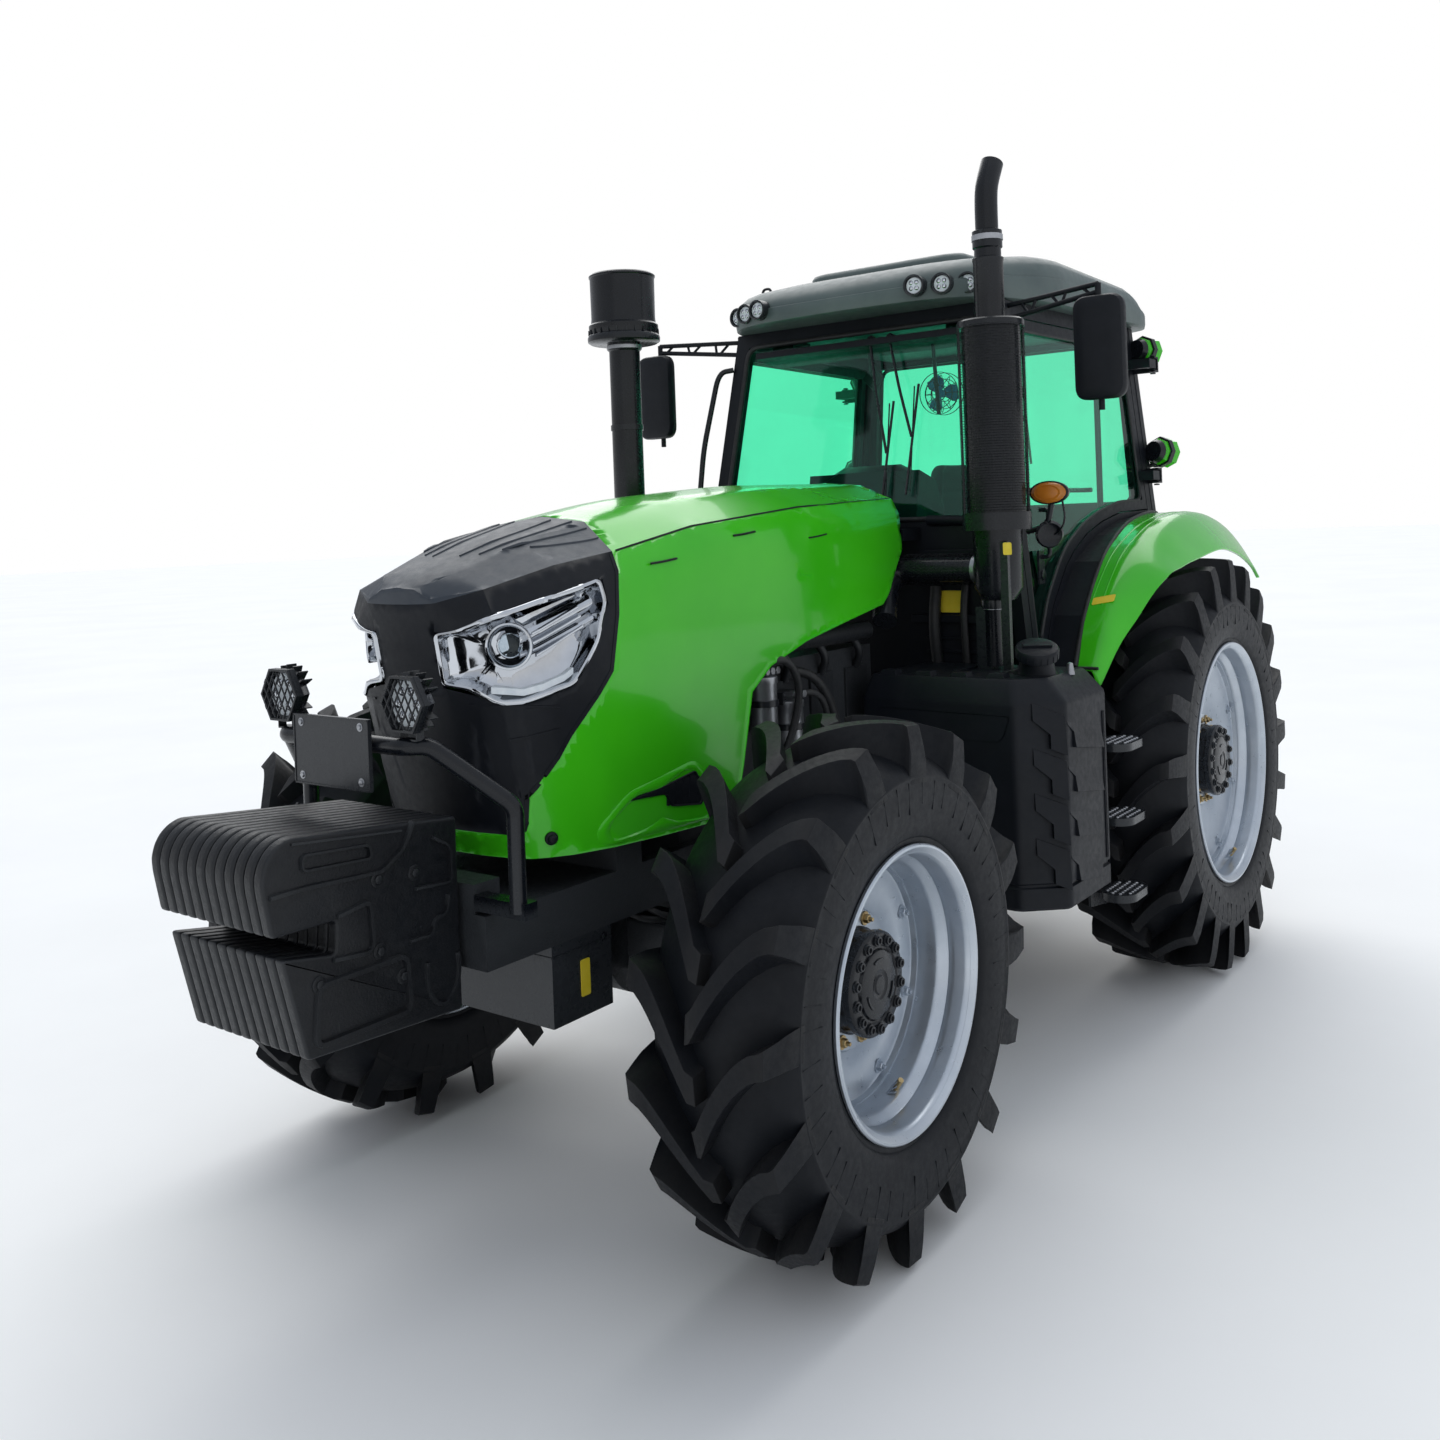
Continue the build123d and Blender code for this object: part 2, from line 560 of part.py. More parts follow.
def cab_floor():
    """Floor, its mounts, and the cowl in front of the windscreen with the hood's hinge brackets."""
    floor = block((CAB_REAR_X, FIREWALL_X), (-CAB_HALF_FLOOR, CAB_HALF_FLOOR), (CAB_FLOOR_Z - 60, CAB_FLOOR_Z))
    mounts = [block((x, x + 120), (y, y + 120), (1060, 1130)) for x in (300, 900) for y in (-230, 110)]
    return fused([floor, *mounts])


def cab_tub():
    """Firewall, rear wall and wheel-arch walls, the black strips inside the fenders and the cowl."""
    half = CAB_HALF_FLOOR
    firewall = block((FIREWALL_X, FIREWALL_X + 50), (-half, half), (CAB_FLOOR_Z - 60, SILL_Z))
    rear = block((CAB_REAR_X, CAB_REAR_X + 40), (-half, half), (CAB_FLOOR_Z, REAR_SILL_Z))
    line = [(x, z) for x, z in CROWN if x > CAB_REAR_X]
    line.append((CAB_REAR_X, 1944))
    strip = prism_xz([*line, *[(x, z - SHEET) for x, z in reversed(line)]], half - SHEET, 1200)
    edge = [point for point in FENDER_INNER if point[0] >= CAB_REAR_X]
    strip = strip & prism_xy([(CAB_REAR_X, half - SHEET), *edge, (CROWN[0][0], half - SHEET)], 1200, 2000)
    wall = prism_xz([*[(x, z - 2) for x, z in line], (CAB_REAR_X, CAB_FLOOR_Z), (FIREWALL_X, CAB_FLOOR_Z),
                     (FIREWALL_X, CROWN[0][1] - 2)], half - SHEET, half)
    cowl = block((FIREWALL_X + 50, 1375), (-330, 330), (1880, 1925))
    x, z = HOOD_HINGE
    brackets = []
    for y in HOOD_HINGE_Y:
        brackets.append(block((x - 60, x - 36), (y - 40, y + 40), (1920, z + 12)))
        for start in (y - 40, y + 28):
            brackets.append(block((x - 40, x + 14), (start, start + 12), (z - 14, z + 12)))
        brackets.append(rod((x, y - 40, z), (x, y + 40, z), HOOD_PIN))
    left = strip.fuse(wall)
    return fused([firewall, rear, left, mirror(left, about=Plane.XZ), cowl, *brackets])


def fender():
    """Left rear fender: crowned skin with its outer lip."""
    line = [(x, z) for x, z in CROWN]
    under = [(x, z - SHEET) for x, z in reversed(line)]
    top = prism_xz([*line, *under], 600, FENDER_CROWN_Y)
    bands = []
    for y, edge in ((FENDER_CROWN_Y, CROWN), (FENDER_LIP_Y, LIP)):
        points = [(x, y, z) for x, z in edge] + [(x, y, z - SHEET) for x, z in reversed(edge)]
        bands.append(make_face(Polyline(points, close=True)))
    skin = top.fuse(loft(bands, ruled=True))
    return skin & prism_xy([*FENDER_INNER, *FENDER_OUTER], 1200, 2000)


def cab_roof():
    """Roof shell with its raised hatch."""
    slab = prism_xy(ROOF_PLAN, CAB_TOP_Z, 3100) & prism_xz(ROOF_SIDE, -900, 900)
    hatch = prism_xz([(950, 3000), (950, 3050), (800, 3075), (350, 3088), (0, 3060), (0, 2990)], -400, 400)
    return slab.fuse(hatch) - Compound(roof_lamps())


def roof_lamps():
    """Round lamps in the corner pods."""
    pieces = []
    for side in (1, -1):
        for x, y in ROOF_LAMPS:
            pieces.append(rod((x - 70, side * y, 2860), (x + 50, side * (y + 6), 2860), 42))
    return pieces


def dashboard():
    """Instrument console and steering column."""
    console = prism_xz([(1130, CAB_FLOOR_Z), (1130, 1960), (1090, 2160), (950, 2120), (880, 1980), (960, 1820),
                        (990, CAB_FLOOR_Z)], -260, 260)
    return console.fuse(rod(COLUMN_FOOT, COLUMN_TOP, 38))


def steering_wheel():
    """Rim, spokes and boss on the column."""
    axis = (Vector(*COLUMN_TOP) - Vector(*COLUMN_FOOT)).normalized()
    plane = Plane(origin=Vector(*COLUMN_TOP) + axis * (15 + FIT), z_dir=axis)
    rim_ring = Torus(190, 15)
    boss = Cylinder(45, 30)
    spokes = [Rot(0, 0, turn) * Pos(100, 0, 0) * Box(180, 30, 12) for turn in (90, 210, 330)]
    return plane.location * fused([rim_ring, boss, *spokes])


def seat():
    """Cushion and back on a pedestal."""
    base = block((140, 480), (-190, 190), (CAB_FLOOR_Z, 1560))
    cushion = block((100, 580), (-250, 250), (1560, 1690))
    back = prism_xz([(80, 1690), (210, 1690), (140, 2270), (10, 2270)], -240, 240)
    return Compound([base, cushion.fuse(back)])


# ---------------------------------------------------------------- fittings
def fuel_tank():
    """Moulded tank with its filler neck."""
    (x0, x1), (y0, y1), (z0, z1) = TANK_X, TANK_Y, TANK_Z
    plan = [(x0, y0), (x1, y0), (x1, y1 - 110), (x1 - 90, y1), (x0, y1)]
    body = prism_xy(plan, z0, z1)
    body = body - prism_xz([(x0 - 10, z1 + 10), (x1 + 10, z1 + 10), (x1 + 10, z1 - 30), (x1 - 40, z1)], y0 - 5, y1 + 5)
    x, y = FILLER
    neck = rod((x, y, z1 - 30), (x, y, z1 + 80), 62)
    cap = rod((x, y, z1 + 80), (x, y, z1 + 130), 78)
    hanger = block((1450, 1640), (300, y0), (900, 980))
    return fused([body, neck, cap, hanger])


def side_box():
    """Battery box on the right."""
    body = block((1250, 1680), (-880, -350), (640, 1250))
    return body.fuse(block((1450, 1640), (-350, -300), (900, 980)))


def steps():
    """Three oval treads on a side plate, on each side of the cab."""
    y = STEP_PLATE_Y
    plate = prism_xz([(905, 470), (1110, 500), (1160, 1250), (905, 1250)], y, y + PLATE)
    pieces = [plate, block((980, 1060), (CAB_HALF_FLOOR, y + 5), (1130, 1170))]
    for z in (540, 820, 1090):
        pieces.append(Pos(1035, y + 110, z) * extrude(SlotOverall(230, 130), amount=28))
        pieces.append(block((1005, 1065), (y, y + 80), (z + 4, z + 24)))
    return both(fused(pieces))


def mirrors():
    """Mirror heads on their arms, one on each side of the cab."""
    pieces = []
    x, y = MIRROR
    for side in (1, -1):
        root = (1030, side * (side_y(1030, 2740) - 30), 2745)
        arm = bar(root, (x - 30, side * y, 2780), 26, 50)
        post = rod((x - 30, side * (y - 10), 2330), (x - 30, side * (y - 10), 2800), 12)
        head = Pos(x, side * y, 2560) * Box(60, 190, 380)
        pieces.extend(fused([arm, post, head]).solids())
    walls = both(side_slab(300, 0))
    return Compound([solid for piece in pieces for solid in (piece - walls).solids()])


def exhaust():
    """Stack: duct from the engine, casing, guard and the bent tail pipe."""
    x, y = EXHAUST
    duct = rod((x - 14, 200, 1770), (x - 14, y, 1770), 50)
    down = rod((1560, 245, 1560), (x - 14, 245, 1770), 44)
    casing = rod((x, y, 1640), (x, y, 1930), 88)
    guard = rod((x, y, 1910), (x, y, 2680), 122)
    sleeve = rod((x, y, 2670), (x, y, 2990), 56)
    pipe = tube([(x, y, 2980), (x, y, 3150), (x - 45, y + 8, 3245)], 42, 200)
    foot = block((1525, 1640), (160, 250), (1500, 1590))
    leg = block((x - 40, x + 40), (y - 90, y - 20), (TANK_Z[1], 1645))
    return fused([duct, down, casing, guard, sleeve, pipe, foot, leg])


def air_intake():
    """Pipe beside the hood with the pre-cleaner bowl."""
    x, y = INTAKE
    pipe = rod((x, y, 1480), (x, y, 2710), 60)
    bowl = rod((x, y, 2700), (x, y, 2965), 130)
    flange = rod((x, y, 2690), (x, y, 2712), 142)
    elbow = block((x - 55, x + 55), (y - 40, -255), (1400, 1500))
    return fused([pipe, bowl, flange, elbow])


def lower_links():
    """The two lower links with their ball ends."""
    pieces = []
    for side in (1, -1):
        start = (LINK_PIVOT[0], side * LINK_PIVOT[1], LINK_PIVOT[2])
        end = (LINK_END[0], side * LINK_END[1], LINK_END[2])
        eye = rod((start[0], start[1] - 12, start[2]), (start[0], start[1] + 12, start[2]), 45)
        pin_hole = rod((start[0], start[1] - 60, start[2]), (start[0], start[1] + 60, start[2]), PIN + 0.05)
        ball = rod((end[0], end[1] - 24, end[2]), (end[0], end[1] + 24, end[2]), 50)
        ball_bore = rod((end[0], end[1] - 60, end[2]), (end[0], end[1] + 60, end[2]), LINK_BORE)
        link = fused([bar(start, end, 24, 70), eye, ball]) - pin_hole - ball_bore
        pieces.extend(link.solids())
    return Compound(pieces)


def lift_arms():
    """Rock shaft with its two arms and their end pins."""
    x, z = ROCK_SHAFT
    pieces = [rod((x, -345, z), (x, 345, z), ROCK_RADIUS)]
    for side in (1, -1):
        y = side * LIFT_ARM_Y
        pieces.append(bar((x + 30, y, z), (x - LIFT_REACH - 35, y, z), 30, 90))
        pieces.append(rod((x - LIFT_REACH, y, z), (x - LIFT_REACH, y + side * 75, z), PIN))
    return fused(pieces)


def lift_rods():
    """The two lift rods, from the arms' ends to the lower links."""
    pieces = []
    x, z = ROCK_SHAFT[0] - LIFT_REACH, ROCK_SHAFT[1]
    for side in (1, -1):
        y = side * (LIFT_ARM_Y + 50)
        eye = rod((x, y - 22, z), (x, y + 22, z), 34)
        body = rod((x, y, z - 10), (x, y, z - 400), 20)
        pieces.extend((fused([eye, body]) - rod((x, y - 60, z), (x, y + 60, z), PIN + 0.05)).solids())
    return Compound(pieces)


def main():
    """Build and write every piece."""
    wheels()
    write("front_axle_beam", front_axle())
    left = knuckle()
    write("knuckle_left", left)
    write("knuckle_right", mirror(left, about=Plane.XZ))
    write("driveline_housing", driveline())
    write("front_support", front_support())
    write("engine_block", engine())
    write("front_weights", front_weights())
    write("front_guard", front_guard())
    write("work_lamps", Compound([*guard_lamps(), *roof_lamps()]))
    write("front_box", front_box())
    hood()
    write("cab_frame", cab_frame())
    write("cab_glass", cab_glass())
    frame, glass = door()
    for name, flip in (("left", lambda s: s), ("right", lambda s: mirror(s, about=Plane.XZ))):
        write(f"door_{name}", flip(frame))
        write(f"door_glass_{name}", flip(glass))
    write("cab_floor", cab_floor())
    write("cab_tub", cab_tub())
    write("rear_fenders", both(fender()))
    write("cab_roof", cab_roof())
    write("dashboard", dashboard())
    write("steering_wheel", steering_wheel())
    write("seat", seat())
    write("fuel_tank", fuel_tank())
    write("side_box", side_box())
    write("steps", steps())
    write("mirrors", mirrors())
    write("exhaust_stack", exhaust())
    write("air_intake", air_intake())
    write("lower_links", lower_links())
    write("lift_arms", lift_arms())
    write("lift_rods", lift_rods())


main()
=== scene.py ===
"""Row-crop farm tractor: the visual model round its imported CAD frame, in metres."""

import random
from math import atan2, cos, exp, pi, radians, sin, sqrt

import bmesh
import bpy
from mathutils import Matrix, Vector
from mathutils.bvhtree import BVHTree


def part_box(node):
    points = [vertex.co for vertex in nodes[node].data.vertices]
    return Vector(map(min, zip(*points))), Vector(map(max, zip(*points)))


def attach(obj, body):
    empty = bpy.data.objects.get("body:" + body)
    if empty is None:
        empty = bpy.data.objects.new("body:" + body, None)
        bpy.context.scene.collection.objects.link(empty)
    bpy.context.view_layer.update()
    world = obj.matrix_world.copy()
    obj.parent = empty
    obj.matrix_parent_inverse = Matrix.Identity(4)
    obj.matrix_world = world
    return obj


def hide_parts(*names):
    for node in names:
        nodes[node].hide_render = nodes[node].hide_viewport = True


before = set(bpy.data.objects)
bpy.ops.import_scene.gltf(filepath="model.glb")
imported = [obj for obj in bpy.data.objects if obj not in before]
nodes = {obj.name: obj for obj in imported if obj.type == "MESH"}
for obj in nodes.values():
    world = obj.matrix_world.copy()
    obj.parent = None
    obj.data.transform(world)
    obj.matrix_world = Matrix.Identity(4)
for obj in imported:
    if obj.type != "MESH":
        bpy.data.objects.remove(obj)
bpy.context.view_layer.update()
rng = random.Random(7)

# Sizes below are in metres from the rear axle and the ground: +X forward, +Y left, +Z up.
rear_lo, rear_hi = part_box("tyre_rear_left")
AXLE_X = (rear_lo.x + rear_hi.x) / 2.0
FRONT_AXLE = 2.76
UP = Vector((0, 0, 1))
SIDES = ((1.0, "left"), (-1.0, "right"))


def at(x, y, z):
    """A point measured from the rear axle and the ground."""
    return Vector((AXLE_X + x, y, z))


def around(count, start=0.0):
    """Angles in even steps of a full turn."""
    return [2 * pi * (k + start) / count for k in range(count)]


def circle(centre, side, other, radius, steps):
    """Even points round a centre, in the plane of two directions."""
    return [centre + side * (radius * cos(a)) + other * (radius * sin(a)) for a in around(steps)]


def quad(half_x, half_y):
    """The corners of a rectangle about zero, counter-clockwise."""
    return [(-half_x, -half_y), (half_x, -half_y), (half_x, half_y), (-half_x, half_y)]


# ---------------------------------------------------------------- materials
def node(tree, kind, **values):
    """A shader node with its properties and its unlinked sockets set."""
    made = tree.nodes.new(kind)
    for key, value in values.items():
        if key in made.inputs:
            made.inputs[key].default_value = value
        else:
            setattr(made, key, value)
    return made


def ramp(tree, source, stops):
    """A colour ramp on a value: (place, colour) stops."""
    made = tree.nodes.new("ShaderNodeValToRGB")
    elements = made.color_ramp.elements
    while len(elements) < len(stops):
        elements.new(0.5)
    for element, (place, colour) in zip(elements, stops):
        element.position = place
        element.color = (*colour, 1.0)
    tree.links.new(source, made.inputs[0])
    return made.outputs[0]


def spread(tree, source, low, high, start=0.3, end=0.7):
    """A value mapped from start..end to low..high."""
    made = node(tree, "ShaderNodeMapRange")
    for index, value in zip((1, 2, 3, 4), (start, end, low, high)):
        made.inputs[index].default_value = value
    tree.links.new(source, made.inputs[0])
    return made.outputs[0]


def new_surface(name):
    """A new material: itself, its node tree, and the call that links two sockets."""
    made = bpy.data.materials.new(name)
    made.use_nodes = True
    return made, made.node_tree, made.node_tree.links.new


def texture(tree, kind, result, **values):
    """A texture's result, laid out in object space."""
    made = node(tree, "ShaderNodeTex" + kind, **values)
    tree.links.new(tree.nodes.new("ShaderNodeTexCoord").outputs["Object"], made.inputs["Vector"])
    return made.outputs[result]


def joined(tree, kind, *sources, **values):
    """A node's first result, with the sources linked to its inputs in order."""
    made = node(tree, kind, **values)
    for index, source in enumerate(sources):
        tree.links.new(source, made.inputs[index])
    return made.outputs[0]


def tinged(tree, colour, tone, share):
    """A colour mixed towards a tone by a share."""
    return joined(tree, "ShaderNodeMixRGB", share, colour, Color2=(*tone, 1.0))


def bumped(tree, height, strength, depth):
    """A height laid on the surface's normal."""
    bump = node(tree, "ShaderNodeBump", Strength=strength, Distance=depth)
    tree.links.new(height, bump.inputs["Height"])
    tree.links.new(bump.outputs["Normal"], tree.nodes["Principled BSDF"].inputs["Normal"])


def material(name, dark, light, rough=(0.4, 0.55), cloud=3.0, grain=None, wear=None, dust=None, fleck=None,
             **shader):
    """Colour clouded between two tones, varied roughness, grain as bump, worn edges and dust."""
    made, tree, link = new_surface(name)
    bsdf = tree.nodes["Principled BSDF"]
    for key, value in shader.items():
        bsdf.inputs[key.replace("_", " ")].default_value = value
    coarse = texture(tree, "Noise", "Fac", Scale=cloud, Detail=5.0, Roughness=0.6)
    colour = ramp(tree, coarse, [(0.32, dark), (0.68, light)])
    fine = texture(tree, "Noise", "Fac", Scale=cloud * 9.0, Detail=6.0, Roughness=0.65)
    link(spread(tree, fine, *rough), bsdf.inputs["Roughness"])
    if fleck:
        scale, tone = fleck
        cells = texture(tree, "Voronoi", "Distance", Scale=scale)
        colour = tinged(tree, colour, tone, spread(tree, cells, 0.5, 0.0, 0.05, 0.3))
    if dust:
        tone, amount = dust
        split = tree.nodes.new("ShaderNodeSeparateXYZ")
        link(tree.nodes.new("ShaderNodeNewGeometry").outputs["Normal"], split.inputs[0])
        up = spread(tree, split.outputs["Z"], 0.15, 1.0, -0.2, 0.9)
        patch = texture(tree, "Noise", "Fac", Scale=cloud * 2.6, Detail=8.0, Roughness=0.75)
        share = joined(tree, "ShaderNodeMath", up, spread(tree, patch, 0.0, amount, 0.42, 0.75),
                       operation="MULTIPLY")
        colour = tinged(tree, colour, tone, share)
    if wear:
        tone, amount = wear
        edge = tree.nodes.new("ShaderNodeNewGeometry").outputs["Pointiness"]
        colour = tinged(tree, colour, tone, spread(tree, edge, 0.0, amount, 0.52, 0.6))
    link(colour, bsdf.inputs["Base Color"])
    if grain:
        scale, strength, depth = grain
        bumped(tree, texture(tree, "Noise", "Fac", Scale=scale, Detail=4.0, Roughness=0.6), strength, depth)
    return made


def weave(name, dark, light):
    """Woven seat cloth: crossed threads in colour and bump, with a sheen."""
    made, tree, link = new_surface(name)
    bsdf = tree.nodes["Principled BSDF"]
    bsdf.inputs["Roughness"].default_value = 0.9
    bsdf.inputs["Sheen Weight"].default_value = 0.4
    threads = [texture(tree, "Wave", "Fac", Scale=110.0, Distortion=0.6, bands_direction=axis) for axis in "YZ"]
    cross = joined(tree, "ShaderNodeMath", *threads, operation="MULTIPLY")
    link(ramp(tree, cross, [(0.1, dark), (0.7, light)]), bsdf.inputs["Base Color"])
    bumped(tree, cross, 0.5, 0.0015)
    return made


DUST = (0.3, 0.26, 0.2)
GREEN = material("green_paint", (0.036, 0.47, 0.006), (0.052, 0.54, 0.009), (0.18, 0.26), 2.0,
                 (14.0, 0.04, 0.004), fleck=(900.0, (0.07, 0.52, 0.02)), dust=(DUST, 0.03), Coat_Weight=0.4,
                 Coat_Roughness=0.05, Specular_IOR_Level=0.3)
PLASTIC = material("black_plastic", (0.0032, 0.0046, 0.0075), (0.0062, 0.008, 0.012), (0.4, 0.56), 5.0,
                   (900.0, 0.3, 0.0006), dust=(DUST, 0.02), Specular_IOR_Level=0.24)
BLACK = material("black_paint", (0.0022, 0.0032, 0.0052), (0.0045, 0.006, 0.0092), (0.22, 0.36), 5.0,
                 (60.0, 0.1, 0.0012), wear=((0.05, 0.055, 0.06), 0.4), dust=(DUST, 0.02), Coat_Weight=0.2,
                 Coat_Roughness=0.14, Specular_IOR_Level=0.26)
CAST = material("cast_black", (0.0025, 0.0034, 0.0052), (0.0055, 0.0068, 0.0092), (0.32, 0.52), 6.0,
                (150.0, 0.55, 0.002), wear=((0.06, 0.065, 0.07), 0.5), dust=(DUST, 0.035),
                Specular_IOR_Level=0.34)
SILVER = material("silver_paint", (0.42, 0.47, 0.53), (0.56, 0.6, 0.65), (0.26, 0.38), 4.0,
                  (220.0, 0.08, 0.0006), fleck=(1400.0, (0.72, 0.78, 0.84)), dust=(DUST, 0.12), Metallic=0.8)
RUBBER = material("tyre_rubber", (0.0026, 0.0036, 0.006), (0.0056, 0.007, 0.01), (0.46, 0.66), 7.0,
                  (260.0, 0.25, 0.001), wear=((0.04, 0.038, 0.035), 0.6), dust=(DUST, 0.022),
                  Specular_IOR_Level=0.2)
SIDEWALL = material("tyre_sidewall", (0.0036, 0.0046, 0.0068), (0.007, 0.0084, 0.0115), (0.44, 0.6), 6.0,
                    (320.0, 0.18, 0.0008), dust=(DUST, 0.018), Specular_IOR_Level=0.2)
ROOF = material("roof_grey", (0.06, 0.088, 0.086), (0.095, 0.13, 0.124), (0.36, 0.5), 3.0,
                (500.0, 0.18, 0.0006), dust=(DUST, 0.12))
CAP = material("cap_grey", (0.026, 0.034, 0.046), (0.04, 0.05, 0.064), (0.4, 0.54), 4.0, (700.0, 0.3, 0.0007),
               dust=(DUST, 0.06), Specular_IOR_Level=0.4)
CHROME = material("chrome", (0.46, 0.48, 0.51), (0.62, 0.64, 0.67), (0.04, 0.11), 5.0, (30.0, 0.04, 0.002),
                  Metallic=1.0)
STEEL = material("steel", (0.3, 0.31, 0.33), (0.44, 0.45, 0.47), (0.28, 0.44), 9.0, (240.0, 0.15, 0.0008),
                 dust=(DUST, 0.1), Metallic=0.9)
ZINC = material("zinc_yellow", (0.42, 0.3, 0.14), (0.58, 0.44, 0.22), (0.3, 0.45), 30.0, (300.0, 0.2, 0.0006),
                Metallic=0.85)
AMBER = material("amber_lens", (0.62, 0.2, 0.02), (0.78, 0.28, 0.03), (0.1, 0.18), 12.0, (180.0, 0.35, 0.0016),
                 Transmission_Weight=0.35)
RED = material("red_lens", (0.45, 0.02, 0.015), (0.6, 0.03, 0.02), (0.1, 0.18), 12.0, (180.0, 0.35, 0.0016))
YELLOW = material("plate_yellow", (0.78, 0.6, 0.02), (0.86, 0.68, 0.05), (0.34, 0.46), 20.0,
                  (400.0, 0.08, 0.0004), dust=(DUST, 0.1))
WHITE = material("lens_white", (0.62, 0.68, 0.72), (0.8, 0.84, 0.86), (0.12, 0.22), 20.0, (160.0, 0.5, 0.002))
BLUE = material("fan_blue", (0.02, 0.16, 0.46), (0.03, 0.22, 0.58), (0.2, 0.3), 10.0, (300.0, 0.08, 0.0006),
                Transmission_Weight=0.3)
MIRROR = material("mirror_glass", (0.8, 0.83, 0.85), (0.88, 0.9, 0.92), (0.01, 0.03), 3.0, Metallic=1.0)
HOSE = material("hose_rubber", (0.004, 0.005, 0.006), (0.009, 0.01, 0.012), (0.5, 0.65), 12.0,
                (500.0, 0.35, 0.0008), dust=(DUST, 0.12))
FABRIC = weave("seat_fabric", (0.018, 0.02, 0.022), (0.06, 0.064, 0.07))


def glass(name, tint, cloud):
    """Clear pane: tinted, thin, glossy, with a faint film that varies."""
    made, tree, link = new_surface(name)
    tree.nodes.remove(tree.nodes["Principled BSDF"])
    film = texture(tree, "Noise", "Fac", Scale=cloud, Detail=4.0)
    lighter = tuple(min(1.0, c * 1.03) for c in tint)
    clear = joined(tree, "ShaderNodeBsdfTransparent", ramp(tree, film, [(0.3, tint), (0.7, lighter)]))
    gloss = node(tree, "ShaderNodeBsdfGlossy", Color=(0.9, 1.0, 0.97, 1.0))
    link(spread(tree, film, 0.01, 0.05), gloss.inputs["Roughness"])
    facing = node(tree, "ShaderNodeLayerWeight", Blend=0.5).outputs["Facing"]
    mix = joined(tree, "ShaderNodeMixShader", spread(tree, facing, 0.03, 0.3, 0.45, 1.0), clear,
                 gloss.outputs[0])
    link(mix, tree.nodes["Material Output"].inputs["Surface"])
    return made


TINTED = glass("tinted_glass", (0.545, 0.95, 0.815), 2.0)
CLEAR = glass("lamp_glass", (0.86, 0.91, 0.94), 14.0)

SLOTS = {"green_paint": GREEN, "black_plastic": PLASTIC, "black_paint": BLACK, "cast_black": CAST,
         "silver_paint": SILVER, "tyre_rubber": RUBBER, "roof_grey": ROOF, "cap_grey": CAP,
         "chrome_lamp": CHROME, "lamp_glass": CLEAR, "tinted_glass": TINTED, "seat_fabric": FABRIC,
         "steel": STEEL}

NODE_SLOTS = {"green_paint": ["hood_top", "hood_sides", "rear_fenders"], "cap_grey": ["nose_cap"],
              "black_plastic": ["nose_fascia", "cab_frame", "door_left", "door_right", "cab_tub", "cab_floor",
                                "dashboard", "steering_wheel", "fuel_tank", "side_box", "mirrors"],
              "black_paint": ["front_guard", "work_lamps", "front_box", "exhaust_stack", "air_intake", "steps",
                              "lift_rods", "lower_links", "lift_arms"],
              "cast_black": ["front_axle_beam", "knuckle_left", "knuckle_right", "driveline_housing",
                             "front_support", "engine_block", "front_weights"],
              "silver_paint": [f"rim_{end}_{side}" for end in ("front", "rear") for side in ("left", "right")],
              "tyre_rubber": [f"tyre_{end}_{side}" for end in ("front", "rear") for side in ("left", "right")],
              "roof_grey": ["cab_roof"], "chrome_lamp": ["headlights"],
              "tinted_glass": ["cab_glass", "door_glass_left", "door_glass_right"], "seat_fabric": ["seat"]}
for slot_name, members in NODE_SLOTS.items():
    for member in members:
        data = nodes[member].data
        data.materials.clear()
        data.materials.append(SLOTS[slot_name])


# ---------------------------------------------------------------- building pieces
def finish(obj, body, bevel=0.0, angle=32.0, replaces=()):
    """Shade a mesh object, round its edges, and put it on its body."""
    for polygon in obj.data.polygons:
        polygon.use_smooth = True
    obj.data.set_sharp_from_angle(angle=radians(angle))
    if bevel:
        rounding = obj.modifiers.new("rounding", "BEVEL")
        rounding.width = bevel
        rounding.segments = 2
        rounding.limit_method = "ANGLE"
        rounding.angle_limit = radians(angle)
        rounding.harden_normals = True
    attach(obj, body)
    if replaces:
        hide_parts(*replaces)
    return obj


def add_object(name, data):
    """A new object in the scene, round a mesh, a light or a camera."""
    obj = bpy.data.objects.new(name, data)
    bpy.context.scene.collection.objects.link(obj)
    return obj


def add_mesh(name, bm, *surfaces):
    """A new object round what a bmesh holds, which is freed."""
    mesh = bpy.data.meshes.new(name)
    bm.to_mesh(mesh)
    bm.free()
    for surface in surfaces:
        mesh.materials.append(surface)
    return add_object(name, mesh)


